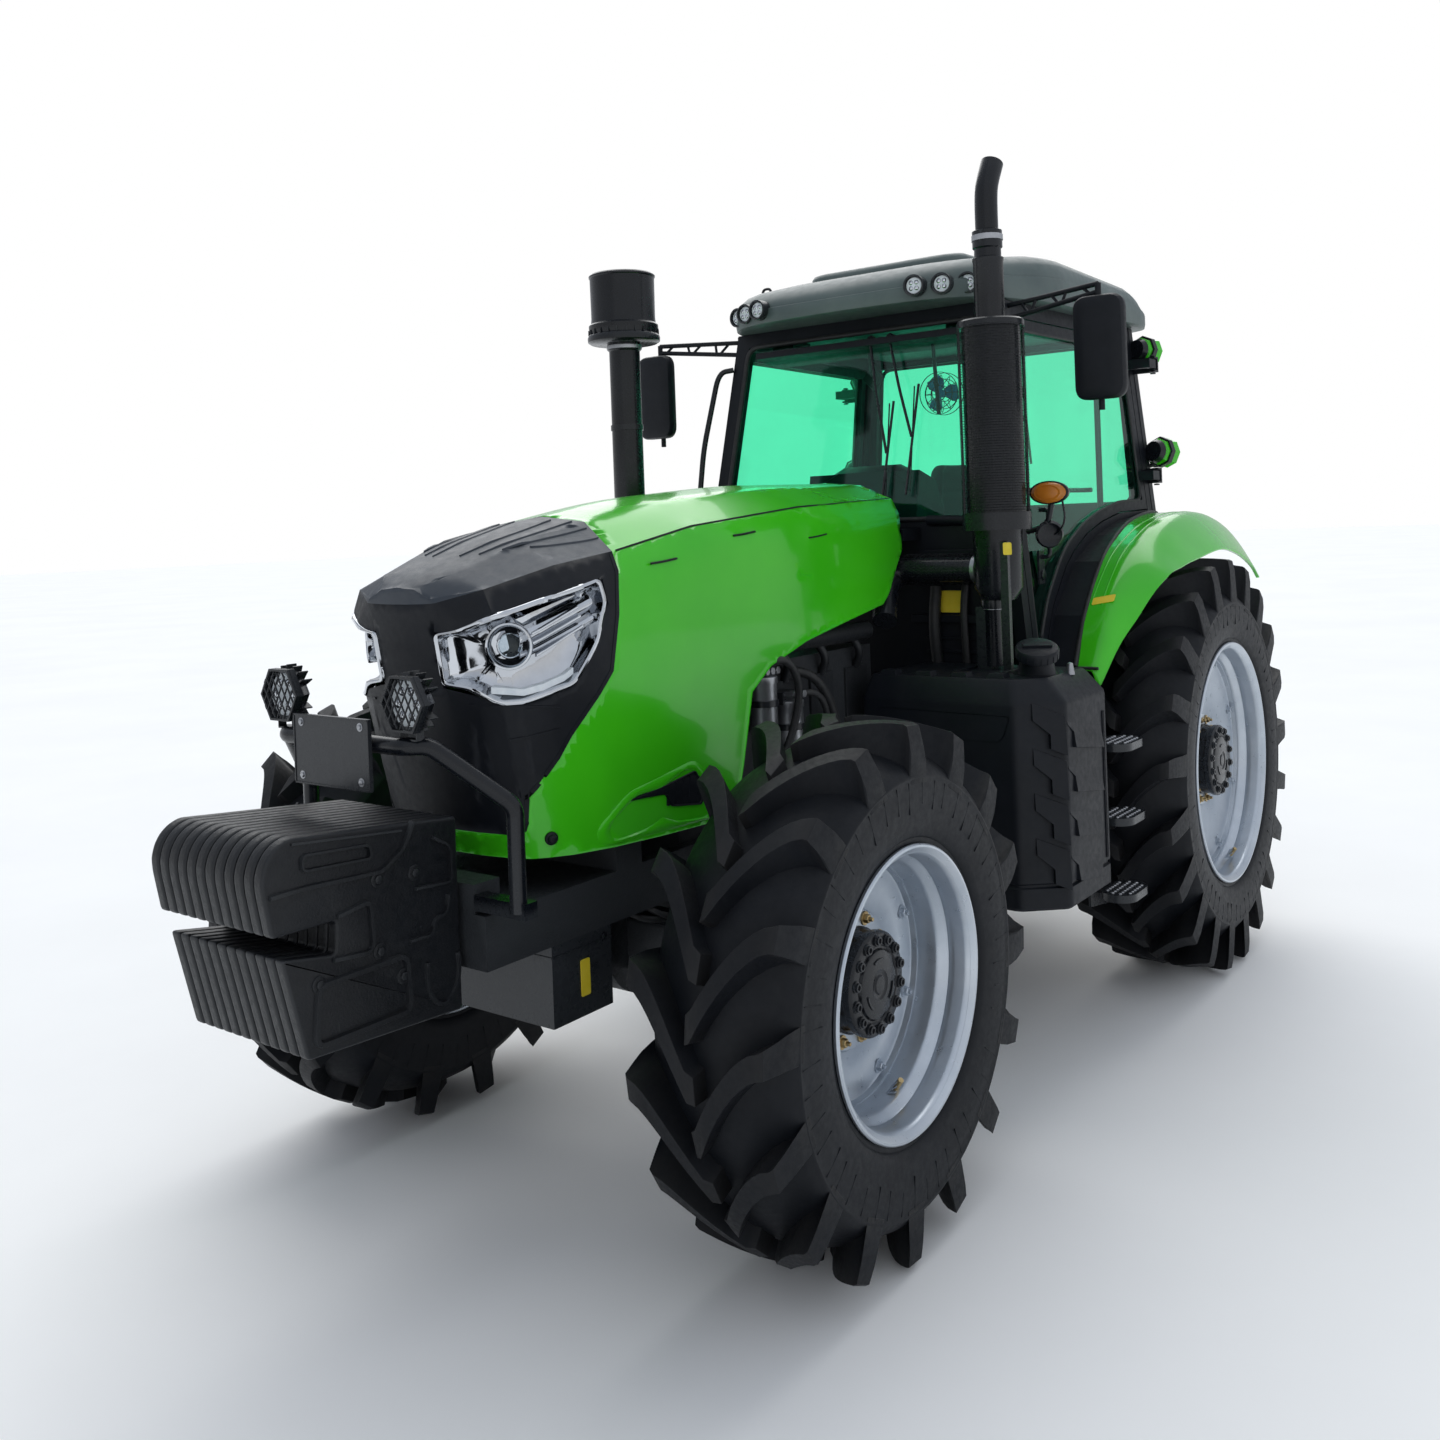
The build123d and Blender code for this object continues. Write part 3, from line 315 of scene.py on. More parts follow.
class Piece:
    """One named piece, gathered from simple turned, swept and cut shapes."""

    def __init__(self, name, surface):
        self.name = name
        self.bm = bmesh.new()
        self.surfaces = [surface]

    def tone(self, surface):
        """The index of a material in this piece."""
        if surface not in self.surfaces:
            self.surfaces.append(surface)
        return self.surfaces.index(surface)

    def faces(self, points, faces, surface=None):
        """Faces from points and their indices."""
        index = self.tone(surface) if surface else 0
        verts = [self.bm.verts.new(p) for p in points]
        for face in faces:
            self.bm.faces.new([verts[i] for i in face]).material_index = index

    def loft(self, rings, closed=True, caps=True, surface=None):
        """Rings of points joined one after another."""
        count = len(rings[0])
        points = [p for ring in rings for p in ring]
        faces = []
        for k in range(len(rings) - 1):
            for i in range(count if closed else count - 1):
                j = (i + 1) % count
                faces.append((k * count + i, k * count + j, (k + 1) * count + j, (k + 1) * count + i))
        if caps and closed:
            faces.append(tuple(reversed(range(count))))
            faces.append(tuple((len(rings) - 1) * count + i for i in range(count)))
        self.faces(points, faces, surface)

    def turned(self, profile, centre, axis, steps=48, surface=None, closed=False):
        """A profile of (radius, distance along the axis) turned about an axis; radius 0 closes an end."""
        axis = Vector(axis).normalized()
        side = axis.cross(UP if abs(axis.z) < 0.9 else Vector((1, 0, 0))).normalized()
        other = axis.cross(side)
        centre = Vector(centre)
        index = self.tone(surface) if surface else 0
        rings = []
        for radius, along in profile:
            if radius < 1e-6:
                rings.append([self.bm.verts.new(centre + axis * along)])
                continue
            rings.append([self.bm.verts.new(p) for p in circle(centre + axis * along, side, other, radius,
                                                               steps)])
        pairs = list(zip(rings, rings[1:]))
        if closed:
            pairs.append((rings[-1], rings[0]))
        for low, high in pairs:
            for k in range(steps):
                j = (k + 1) % steps
                corners = [low[0]] if len(low) == 1 else [low[k], low[j]]
                corners += [high[0]] if len(high) == 1 else [high[j], high[k]]
                if len(corners) > 2:
                    self.bm.faces.new(corners).material_index = index

    def rod(self, start, end, radius, steps=20, surface=None):
        """A round bar."""
        line = end - start
        self.drum(radius, 0, line.length, start, line, steps, surface)

    def block(self, centre, size, turn=None, surface=None):
        """A box of a size about its centre, turned by a matrix where given."""
        half = Vector(size) / 2.0
        turn = turn or Matrix.Identity(3)
        points = [Vector(centre) + turn @ Vector((sx * half.x, sy * half.y, sz * half.z)) for sz in (-1, 1)
                  for sx, sy in ((-1, -1), (1, -1), (1, 1), (-1, 1))]
        self.faces(points, [(3, 2, 1, 0), (4, 5, 6, 7), (0, 1, 5, 4), (1, 2, 6, 5), (2, 3, 7, 6), (3, 0, 4, 7)],
                   surface)

    def tube(self, points, radius, steps=14, bend=0.05, surface=None, closed=False):
        """A round tube along points, with its corners rounded."""
        path = rounded(points, bend, closed)
        rings = []
        side = None
        for k, point in enumerate(path):
            before = path[k - 1] if (k or closed) else point
            after = path[(k + 1) % len(path)] if (k + 1 < len(path) or closed) else point
            along = (after - before).normalized()
            if side is None:
                side = along.cross(UP if abs(along.z) < 0.9 else Vector((1, 0, 0)))
            side = (side - along * side.dot(along)).normalized()
            other = along.cross(side)
            rings.append(circle(point, side, other, radius, steps))
        if closed:
            rings.append(rings[0])
        self.loft(rings, True, not closed, surface)

    def prism(self, outline, start, end, surface=None):
        """An outline of points, moved from the start vector to the end vector."""
        self.loft([[p + start for p in outline], [p + end for p in outline]], True, True, surface)

    def hoop(self, inner, outer, low, high, centre, axis, steps=40, surface=None):
        """A ring with a square section: two radii, and two distances along the axis."""
        self.turned([(inner, low), (outer, low), (outer, high), (inner, high)], centre, axis, steps, surface,
                    True)

    def drum(self, radius, low, high, centre, axis, steps=48, surface=None):
        """A plain cylinder between two distances along the axis."""
        self.turned([(0, low), (radius, low), (radius, high), (0, high)], centre, axis, steps, surface)

    def bolt(self, place, axis, radius=0.01, height=0.008, washer=True, surface=None):
        """A hexagon head on its washer."""
        axis = Vector(axis).normalized()
        if washer:
            self.drum(radius * 1.7, 0, height * 0.25, place, axis, 16, surface)
        self.turned([(0, 0), (radius * 1.1, 0), (radius * 1.1, height * 0.9), (radius * 0.9, height),
                     (0, height)], place, axis, 6, surface)

    def done(self, body, bevel=0.0, angle=32.0, replaces=()):
        """The finished object."""
        bmesh.ops.remove_doubles(self.bm, verts=self.bm.verts, dist=1e-6)
        bmesh.ops.recalc_face_normals(self.bm, faces=self.bm.faces)
        obj = add_mesh(self.name, self.bm, *self.surfaces)
        return finish(obj, body, bevel, angle, replaces)


def rounded(points, bend, closed=False, steps=6):
    """A line of points with each corner turned into a short curve."""
    points = [Vector(p) for p in points]
    if bend <= 0:
        return points
    path = []
    last = len(points)
    for k in range(last):
        here = points[k]
        if not closed and k in (0, last - 1):
            path.append(here)
            continue
        before, after = points[k - 1], points[(k + 1) % last]
        reach_in = min(bend, (before - here).length * 0.48)
        reach_out = min(bend, (after - here).length * 0.48)
        start = here + (before - here).normalized() * reach_in
        end = here + (after - here).normalized() * reach_out
        for i in range(steps + 1):
            t = i / steps
            path.append(start * (1 - t) ** 2 + here * (2 * t * (1 - t)) + end * t ** 2)
    return path


def value_along(values, share):
    """A value read from (share, value) points, in straight steps."""
    for (a, va), (b, vb) in zip(values, values[1:]):
        if share <= b:
            t = (share - a) / (b - a)
            return va + (vb - va) * t
    return values[-1][1]


def mesh_tree(names):
    """Something to cast rays at, made of CAD nodes."""
    points, faces = [], []
    for name in names:
        start = len(points)
        points.extend(v.co.copy() for v in nodes[name].data.vertices)
        faces.extend([start + i for i in p.vertices] for p in nodes[name].data.polygons)
    return BVHTree.FromPolygons(points, faces)


# Facet corners nearer than this are one point, and an eased point keeps this share of its own place.
WELD, KEPT_SHARE = 3e-5, 0.4


def softened(name, body, surface, grid=0.07, rounds=5, sharp=26.0, bevel=0.002):
    """A CAD shell with its facets eased into curved sheet; its sharp edges stay where they are."""
    bm = bmesh.new()
    bm.from_mesh(nodes[name].data)
    bmesh.ops.remove_doubles(bm, verts=bm.verts, dist=WELD)
    bmesh.ops.dissolve_limit(bm, angle_limit=radians(0.3), verts=bm.verts, edges=bm.edges)
    bmesh.ops.triangulate(bm, faces=bm.faces)
    for _ in range(6):
        long_edges = [e for e in bm.edges if e.calc_length() > grid]
        if not long_edges:
            break
        bmesh.ops.subdivide_edges(bm, edges=long_edges, cuts=1)
        bmesh.ops.triangulate(bm, faces=[f for f in bm.faces if len(f.verts) > 3])
    bmesh.ops.recalc_face_normals(bm, faces=bm.faces)
    limit = radians(sharp)
    pinned = set()
    for edge in bm.edges:
        if len(edge.link_faces) != 2 or edge.calc_face_angle(0.0) > limit:
            pinned.update(edge.verts)
    free = [v for v in bm.verts if v not in pinned]
    for _ in range(rounds):
        moved = {}
        for vert in free:
            near = [e.other_vert(vert).co for e in vert.link_edges]
            moved[vert] = vert.co * KEPT_SHARE + sum(near, Vector()) * ((1.0 - KEPT_SHARE) / len(near))
        for vert, place in moved.items():
            vert.co = place
    return finish(add_mesh(name + "_skin", bm, surface), body, bevel, sharp + 4.0, (name,))


# ---------------------------------------------------------------- wheels
TYRE_STEPS, RIM_STEPS = 160, 128
# The lugs sweep back along a curve of this power.
LUG_CURVE = 1.55
WHEELS = {
    "front": dict(lugs=16, shoulder=0.575, carcass=0.66, disc=0.018, face=0.094, hub=0.14, bolts=14, studs=10),
    "rear": dict(lugs=21, shoulder=0.69, carcass=0.812, disc=0.09, face=0.165, hub=0.15, bolts=14, studs=12),
}


def wheel_frame(end, side):
    """Sizes of one wheel from its CAD tyre and rim, and where a local point goes."""
    w = dict(WHEELS[end])
    lo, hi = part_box(f"tyre_{end}_{side}")
    rim_lo, rim_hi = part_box(f"rim_{end}_{side}")
    w["radius"] = (hi.z - lo.z) / 2.0
    w["half"] = (hi.y - lo.y) / 2.0
    w["flange"] = (rim_hi.x - rim_lo.x) / 2.0
    w["centre"] = (lo + hi) / 2.0
    w["out"] = 1.0 if side == "left" else -1.0
    return w


def on_wheel(w, angle, radius, across):
    """A point on a wheel: angle from the top towards the front, radius, and distance outwards."""
    return w["centre"] + Vector((radius * sin(angle), w["out"] * across, radius * cos(angle)))


def carcass_profile(w):
    """Half of the carcass as (across, radius) points, from the bead to the crown."""
    half, flange, shoulder, crown = w["half"], w["flange"], w["shoulder"], w["carcass"]
    wall = shoulder - flange
    return [(half - 0.026, flange - 0.022), (half - 0.026, flange + 0.002), (half - 0.022, flange + 0.01),
            (half - 0.023, flange + 0.016), (half - 0.015, flange + 0.022),
            (half - 0.009, flange + 0.24 * wall), (half - 0.004, flange + 0.4 * wall),
            (half - 0.001, flange + 0.58 * wall), (half - 0.0005, flange + 0.76 * wall),
            (half - 0.002, shoulder - 0.022), (half - 0.0005, shoulder - 0.016),
            (half - 0.0005, shoulder - 0.011), (half - 0.005, shoulder - 0.006),
            (half - 0.009, shoulder + 0.002), (half - 0.022, shoulder + 0.016),
            (half - 0.055, shoulder + 0.42 * (crown - shoulder)),
            (half - 0.1, shoulder + 0.7 * (crown - shoulder)),
            (half - 0.15, shoulder + 0.9 * (crown - shoulder)), (0.0, crown)]


def tyre(end, side):
    """Carcass with its bead rings and mould lines, and the curved, buttressed lugs."""
    w = wheel_frame(end, side)
    name = f"tyre_{end}_{side}"
    body = f"wheel_{end}_{side}"
    axis = Vector((0, w["out"], 0))
    profile = carcass_profile(w)
    outer = [(r, b) for b, r in profile]
    inner = [(r, -b) for b, r in reversed(profile[:-1])]
    carcass = Piece(name + "_carcass", SIDEWALL)
    carcass.turned(outer + inner, w["centre"], axis, TYRE_STEPS, closed=True)
    steps = 3 * w["lugs"]
    wall = w["shoulder"] - w["flange"]
    for k in range(steps):
        angle = 2 * pi * (k + 0.3 * rng.random()) / steps
        bottom = w["flange"] + wall * (0.42 + 0.16 * rng.random())
        lean = 0.01 * (rng.random() - 0.5)
        for face in (1.0, -1.0):
            ring = []
            across = face * (w["half"] - 0.0012)
            for radius, turn in ((bottom, 0.0), (w["shoulder"] - 0.024, lean)):
                left, right = angle + turn - 0.0009 / radius, angle + turn + 0.0009 / radius
                ring.append([on_wheel(w, turned_by, radius, across + face * off)
                             for turned_by, off in ((left, -0.004), (left, 0.0009), (right, 0.0009),
                                                    (right, -0.004))])
            carcass.loft(ring)
    carcass.done(body, 0.0, 50.0, replaces=(name,))

    tread = Piece(name + "_lugs", RUBBER)
    pitch = 2 * pi / w["lugs"]
    reach = w["radius"] * pitch * 0.4
    half, radius = w["half"], w["radius"]
    lug_top = radius - 0.0015
    stations = []
    for k in range(9):
        u = k / 8.0
        across = 0.007 + (half - 0.03) * u
        along = reach * (1.0 - 2.0 * (1.0 - (1.0 - u) ** LUG_CURVE))
        slope = 2.0 * reach * LUG_CURVE * (1.0 - u) ** (LUG_CURVE - 1.0) / (half - 0.03)
        width = 0.036 + 0.01 * u + 0.016 * u ** 3
        stations.append((across, along, width * sqrt(1.0 + slope * slope) / 2.0, lug_top - 0.01 * u ** 2,
                         0.008))
    first = stations[0]
    stations.insert(0, (-0.012, first[1] + 0.012, first[2] * 0.92, lug_top - 0.008, 0.006))
    last = stations[-1]
    shoulder = w["shoulder"]
    stations.append((half - 0.012, last[1] - 0.004, last[2] + 0.003, lug_top - 0.016, 0.01))
    stations.append((half - 0.005, last[1] - 0.01, last[2] + 0.009, radius - 0.062, 0.012))
    stations.append((half - 0.002, last[1] - 0.016, last[2] + 0.014, shoulder + 0.045, 0.012))
    stations.append((half - 0.0008, last[1] - 0.022, last[2] + 0.018, shoulder + 0.003, 0.006))
    for face in (1.0, -1.0):
        for turn in range(w["lugs"]):
            middle = pitch * (turn + (0.25 if face > 0 else 0.75))
            rings = []
            for across, along, spread_half, top, flare in stations:
                share = max(0.0, min(1.0, across / half))
                floor_radius = w["carcass"] - (w["carcass"] - shoulder) * share ** 2 - 0.03
                floor_radius = min(floor_radius, top - 0.004)
                lead, trail = along + spread_half, along - spread_half
                rings.append([on_wheel(w, middle + around_by / radius, height, face * across)
                              for around_by, height in ((lead + flare, floor_radius), (lead, top), (trail, top),
                                                        (trail - flare, floor_radius))])
            tread.loft(rings)
    tread.done(body, 0.0045, 24.0)


def rim(end, side):
    """Rolled barrel, dished disc, hub with its bolts, and the valve's guard."""
    w = wheel_frame(end, side)
    name = f"rim_{end}_{side}"
    body = f"wheel_{end}_{side}"
    flange, disc, hub, face = w["flange"], w["disc"], w["hub"], w["face"]
    edge = w["half"] - 0.012
    axis = Vector((0, w["out"], 0))
    centre = w["centre"]
    lip = [(flange, edge - 0.012), (flange + 0.0005, edge - 0.004), (flange - 0.003, edge),
           (flange - 0.009, edge + 0.0005), (flange - 0.015, edge - 0.004), (flange - 0.022, edge - 0.012),
           (flange - 0.028, edge - 0.018), (flange - 0.031, edge - 0.03), (flange - 0.033, edge - 0.056),
           (flange - 0.036, edge - 0.07), (flange - 0.033, edge - 0.077), (flange - 0.037, edge - 0.085),
           (flange - 0.05, edge - 0.096), (flange - 0.055, edge - 0.11)]
    barrel = Piece(name + "_barrel", SILVER)
    well = [(flange - 0.055, 0.02), (flange - 0.055, -0.04)]
    back = [(r, -b) for r, b in reversed(lip)]
    outside = [(flange - 0.0235, -edge + 0.013), (flange - 0.0235, edge - 0.013)]
    barrel.turned([*lip, *well, *back, *outside], centre, axis, RIM_STEPS, closed=True)
    barrel.done(body, 0.0, 40.0, replaces=(name,))

    plate = Piece(name + "_disc", SILVER)
    rim_r = flange - 0.0545
    plate.turned([(rim_r, disc + 0.018), (rim_r - 0.006, disc + 0.019), (rim_r - 0.01, disc + 0.004),
                  (rim_r - 0.018, disc), (rim_r - 0.048, disc - 0.001), (rim_r - 0.06, disc - 0.008),
                  (hub + 0.075, disc - 0.016), (hub + 0.052, disc - 0.013), (hub + 0.044, disc - 0.002),
                  (hub - 0.012, disc), (hub - 0.012, disc - 0.012), (hub + 0.04, disc - 0.014),
                  (hub + 0.075, disc - 0.028), (rim_r - 0.06, disc - 0.02), (rim_r, disc - 0.012)], centre,
                 axis, RIM_STEPS, closed=True)
    for angle in around(8, 0.5):
        plate.bolt(on_wheel(w, angle, rim_r - 0.031, disc - 0.001), axis, 0.0115, 0.017)
        plate.turned([(0, 0), (0.007, 0), (0.006, 0.008), (0, 0.008)],
                     on_wheel(w, angle, rim_r - 0.031, disc + 0.015), axis, 10)
    valve = radians(196.0)
    for k in range(9):
        turn = valve + (k - 4) * 0.022
        if k < 8:
            low = [on_wheel(w, turn + s * 0.022, flange - 0.054 + d, disc + a)
                   for s, d, a in ((0, 0.0, 0.052), (1, 0.0, 0.052), (1, -0.003, 0.052), (0, -0.003, 0.052))]
            bow = sin(pi * (k + 0.5) / 8)
            high = [on_wheel(w, turn + s * 0.022, flange - 0.056 - 0.034 * bow - t, disc + 0.082)
                    for s, t in ((0, 0.0), (1, 0.0), (1, 0.003), (0, 0.003))]
            plate.loft([low, high])
    plate.rod(on_wheel(w, valve, flange - 0.054, disc + 0.066), on_wheel(w, valve, flange - 0.088, disc + 0.09),
              0.008, 14, ZINC)
    plate.done(body, 0.0, 36.0)

    boss = Piece(name + "_hub", BLACK)
    boss.turned([
        (0, disc - 0.02), (hub + 0.002, disc - 0.02), (hub + 0.002, disc + 0.01), (hub - 0.004, disc + 0.014),
        (hub - 0.006, face - 0.03), (hub, face - 0.026), (hub, face - 0.008), (hub - 0.005, face - 0.002),
        (hub - 0.01, face), (hub - 0.036, face), (hub - 0.04, face - 0.004), (hub - 0.046, face - 0.004),
        (hub - 0.05, face + 0.003), (hub - 0.06, face + 0.006), (0.04, face + 0.008), (0.034, face + 0.004),
        (0.026, face + 0.004), (0.022, face + 0.008), (0, face + 0.009)], centre, axis, 72)
    for angle in around(w["bolts"]):
        spot = on_wheel(w, angle, hub - 0.022, face - 0.001)
        boss.turned([(0, 0), (0.016, 0), (0.016, 0.006), (0.012, 0.007), (0.012, 0.013), (0.007, 0.013),
                     (0.007, 0.009), (0, 0.009)], spot, axis, 14)
    for k in range(3):
        for step in range(7):
            angle = 2 * pi * k / 3 + 0.1 * (step - 3)
            nearer, farther = (0.064, 0.071)
            ring = [[on_wheel(w, angle + d, r, face + a) for r, a in ((nearer, 0.004), (nearer, 0.0105),
                                                                      (farther, 0.0105), (farther, 0.004))]
                    for d in (0.0, 0.1)]
            boss.loft(ring)
    for angle in around(w["studs"], 0.3):
        spot = on_wheel(w, angle, hub + 0.024, disc - 0.001)
        boss.bolt(spot, axis, 0.0115, 0.017, True, ZINC)
        boss.turned([(0, 0), (0.0065, 0), (0.0055, 0.012), (0, 0.012)], spot + axis * 0.016, axis, 10, ZINC)
    boss.done(body, 0.0008, 34.0)


for end in ("front", "rear"):
    for side in ("left", "right"):
        tyre(end, side)
        rim(end, side)


# ---------------------------------------------------------------- hood, cap and nose
softened("hood_top", "hood", GREEN, grid=0.045, rounds=14, sharp=30.0)
softened("hood_sides", "hood", GREEN, grid=0.04, rounds=16, sharp=30.0)
softened("nose_cap", "hood", CAP, grid=0.03, rounds=10, sharp=24.0, bevel=0.006)
softened("nose_fascia", "hood", PLASTIC, grid=0.04, rounds=14)
hood_skin = mesh_tree(["hood_top", "hood_sides", "nose_cap", "nose_fascia", "headlights"])


CLEAR_OF_HOOD = 1.2
ABOVE_HOOD = 3.0


def skin_hit(start, toward, near=None):
    """Where a ray meets the hood, or the nearest point where it misses, and the normal facing the ray."""
    hit, normal, _, _ = hood_skin.ray_cast(start, toward)
    if hit is None:
        hit, normal, _, _ = hood_skin.find_nearest(start if near is None else near)
    return hit, -normal if normal.dot(toward) > 0 else normal


def skin_side(x, z, out=1.0):
    """The hood's outer face at x and z, and its normal, on one side."""
    return skin_hit(at(x, out * CLEAR_OF_HOOD, z), Vector((0, -out, 0)))


def skin_top(x, y):
    """The hood's upper face at x and y, and its normal."""
    return skin_hit(at(x, y, ABOVE_HOOD), -UP)


def outline_points(corners, spacing, bend):
    """A closed (x, z) outline with small rounded corners, in even steps."""
    line = rounded([Vector((x, 0, z)) for x, z in corners], bend, True, 4)
    points = []
    for a, b in zip(line, line[1:] + line[:1]):
        steps = max(1, int((b - a).length / spacing))
        points.extend(a + (b - a) * (i / steps) for i in range(steps))
    return points


NOSE_POLE = (3.15, 0.0)
NOSE_REACH = 0.33
# Headlight outline: (x, z) points, and where the nose turns in, ("y", y, z) points seen from the front.
HEADLIGHT = [("y", 0.119, 1.706), ("y", 0.19, 1.716), (3.461, 1.751), (3.331, 1.786), (3.134, 1.829),
             (3.115, 1.77), (3.154, 1.665), (3.192, 1.614), (3.243, 1.553), (3.384, 1.519), (3.436, 1.519),
             ("y", 0.2, 1.56), ("y", 0.119, 1.572)]
LIGHT_AXIS = ((3.44, 1.64), (3.2, 1.735))


def skin_polar(turn, z, out=1.0):
    """The hood's outer face seen from a pole inside the nose: arc length from straight ahead, and height."""
    direction = Vector((cos(turn / NOSE_REACH), out * sin(turn / NOSE_REACH), 0))
    pole = at(*NOSE_POLE, z)
    return skin_hit(pole + direction * CLEAR_OF_HOOD, -direction, pole + direction * 0.4)


def turn_of(point):
    """Arc length and height of an outline point."""
    if point[0] == "y":
        hit, _, _, _ = hood_skin.ray_cast(at(4.5, point[1], point[2]), Vector((-1, 0, 0)))
    else:
        hit, _ = skin_side(point[0], point[1])
    away = hit - at(*NOSE_POLE, hit.z)
    return atan2(away.y, away.x) * NOSE_REACH, point[-1]


def skin_bar(piece, line, section, out):
    """A bar along (x, z) points on the hood's side, with a section of (off the skin, up) points."""
    rings = []
    for x, z in line:
        hit, normal = skin_side(x, z, out)
        rings.append([hit + normal * off + Vector((0, 0, up)) for off, up in section])
    piece.loft(rings)


def skin_rings(edge, steps, moved, out):
    """Rings on the hood's side: an outline moved by each step's share, and lifted off the skin."""
    rings = []
    for share, lift in steps:
        hits = [skin_side(spot.x, spot.z, out) for spot in (moved(p, share) for p in edge)]
        rings.append([hit + normal * lift for hit, normal in hits])
    return rings


def headlight(out, side):
    """Chrome bezel round a deep reflector, with its projector, light bars and lower strip."""
    line = outline_points([turn_of(p) for p in HEADLIGHT], 0.012, 0.016)
    a, b = (Vector((turn, 0, z)) for turn, z in map(turn_of, LIGHT_AXIS))

    def ring(share, depth):
        """The outline drawn in by a distance; above 1, by a share of the way to the lamp's axis."""
        points = []
        for p in line:
            t = max(0.0, min(1.0, (p - a).dot(b - a) / (b - a).length_squared))
            target = a + (b - a) * t
            away = p - target
            if share <= 1.0:
                spot = p - away * (share / max(away.length, 1e-6))
            else:
                spot = target + away * (2.0 - share)
            hit, normal = skin_polar(spot.x, spot.z, out)
            points.append(hit - normal * depth)
        return points

    bowl = Piece(f"headlight_{side}", CHROME)
    bowl.loft([ring(share, depth) for share, depth in ((-0.004, 0.008), (-0.004, -0.001), (-0.001, -0.005),
                                                       (0.006, -0.0065), (0.011, -0.004), (0.012, 0.006),
                                                       (0.015, 0.03), (0.024, 0.04), (1.35, 0.05), (1.65, 0.05),
                                                       (1.97, 0.05))], True, False)
    bowl.done("hood", 0.0, 40.0, replaces=("headlights",))

    # Projector lamp: chrome barrel, dark well, glass ball with its ring.
    hit, normal = skin_side(3.425, 1.668, out)
    forward = (normal + Vector((0.55, 0, 0))).normalized()
    heart = hit - forward * 0.048
    lamp = Piece(f"projector_{side}", CHROME)
    lamp.turned([(0.046, -0.03), (0.06, 0.0), (0.0625, 0.03), (0.061, 0.034), (0.056, 0.035), (0.052, 0.03),
                 (0.049, 0.012)], heart, forward, 48)
    lamp.turned([(0.049, 0.012), (0.044, 0.004), (0.04, 0.0), (0.0, -0.004)], heart, forward, 48, PLASTIC)
    lamp.turned([(0.036, 0.0), (0.036, 0.012), (0.033, 0.016), (0.03, 0.014), (0.03, 0.0)], heart, forward, 40)
    lamp.done("hood", 0.0, 40.0)
    lens = Piece(f"projector_lens_{side}", CLEAR)
    lens.turned([(0.0, 0.026), (0.014, 0.0245), (0.026, 0.018), (0.031, 0.009), (0.031, 0.001)], heart, forward,
                40)
    lens.done("hood", 0.0, 40.0)

    # Light bars running back from the projector, and the strip along the lower edge.
    bars = Piece(f"light_bars_{side}", CHROME)
    strips = Piece(f"light_strips_{side}", WHITE)
    for rows, ends in (((1.712, 1.652), (1.792, 1.745)), ((1.655, 1.628), (1.742, 1.706))):
        stations = []
        for k in range(9):
            u = k / 8.0
            x = 3.392 - 0.236 * u
            upper = rows[0] + (ends[0] - rows[0]) * u
            lower = rows[1] + (ends[1] - rows[1]) * u
            ring_points = []
            for v in range(7):
                share = v / 6.0
                hit, normal = skin_side(x, lower + (upper - lower) * share, out)
                bulge = 0.02 * sin(pi * share) - 0.028
                ring_points.append(hit + normal * bulge)
            hit, normal = skin_side(x, (upper + lower) / 2, out)
            ring_points.append(hit - normal * 0.046)
            stations.append(ring_points)
        bars.loft(stations)
    for low_from, low_to, x_from, x_to in ((1.697, 1.758, 3.362, 3.212), (1.672, 1.733, 3.362, 3.205),
                                           (1.64, 1.706, 3.352, 3.2)):
        line = [(x_from + (x_to - x_from) * k / 6.0, low_from + (low_to - low_from) * k / 6.0)
                for k in range(7)]
        skin_bar(bars, line, ((-0.016, -0.005), (-0.003, -0.003), (-0.003, 0.003), (-0.016, 0.005)), out)
    strip_line = [(3.452, 1.552), (3.384, 1.543), (3.335, 1.552), (3.265, 1.572), (3.235, 1.588)]
    skin_bar(strips, strip_line, ((-0.034, -0.008), (-0.012, -0.008), (-0.012, 0.01), (-0.034, 0.01)), out)
    bars.done("hood", 0.001, 40.0)
    strips.done("hood", 0.001, 40.0)


for out, side in SIDES:
    headlight(out, side)


def skin_strip(piece, points, width, low, high, out=None):
    """A flat bead along points of the hood's side (x, z) or top (x, y), from low to high off the skin."""
    rings = []
    hits = [skin_side(u, v, out) if out else skin_top(u, v) for u, v in points]
    for k, (hit, normal) in enumerate(hits):
        along = (hits[min(k + 1, len(hits) - 1)][0] - hits[max(k - 1, 0)][0]).normalized()
        across = width(k / (len(hits) - 1)) if callable(width) else width
        side = normal.cross(along).normalized() * across / 2.0
        rings.append([hit - side * 1.15 + normal * low, hit - side * 0.8 + normal * high,
                      hit + side * 0.8 + normal * high, hit + side * 1.15 + normal * low])
    piece.loft(rings)


def between(points, steps):
    """A line of 2D points divided into even steps."""
    line = []
    for (a, b), (c, d) in zip(points, points[1:]):
        line.extend((a + (c - a) * i / steps, b + (d - b) * i / steps) for i in range(steps))
    line.append(points[-1])
    return line


# Seams: the dark gap under the hood's top, and the one between the green sides and the nose.
seams = Piece("hood_seams", PLASTIC)
for out in (1.0, -1.0):
    skin_strip(seams, between([(1.415, 2.0445), (2.1, 2.0165), (2.7, 1.9645), (3.035, 1.9035)], 6), 0.007,
               -0.004, 0.0006, out)
    skin_strip(seams, between([(3.058, 1.895), (3.072, 1.728), (3.11, 1.578), (3.256, 1.419), (3.361, 1.268),
                               (3.356, 1.175)], 14), 0.015, -0.006, 0.0016, out)
seams.done("hood", 0.0, 40.0)

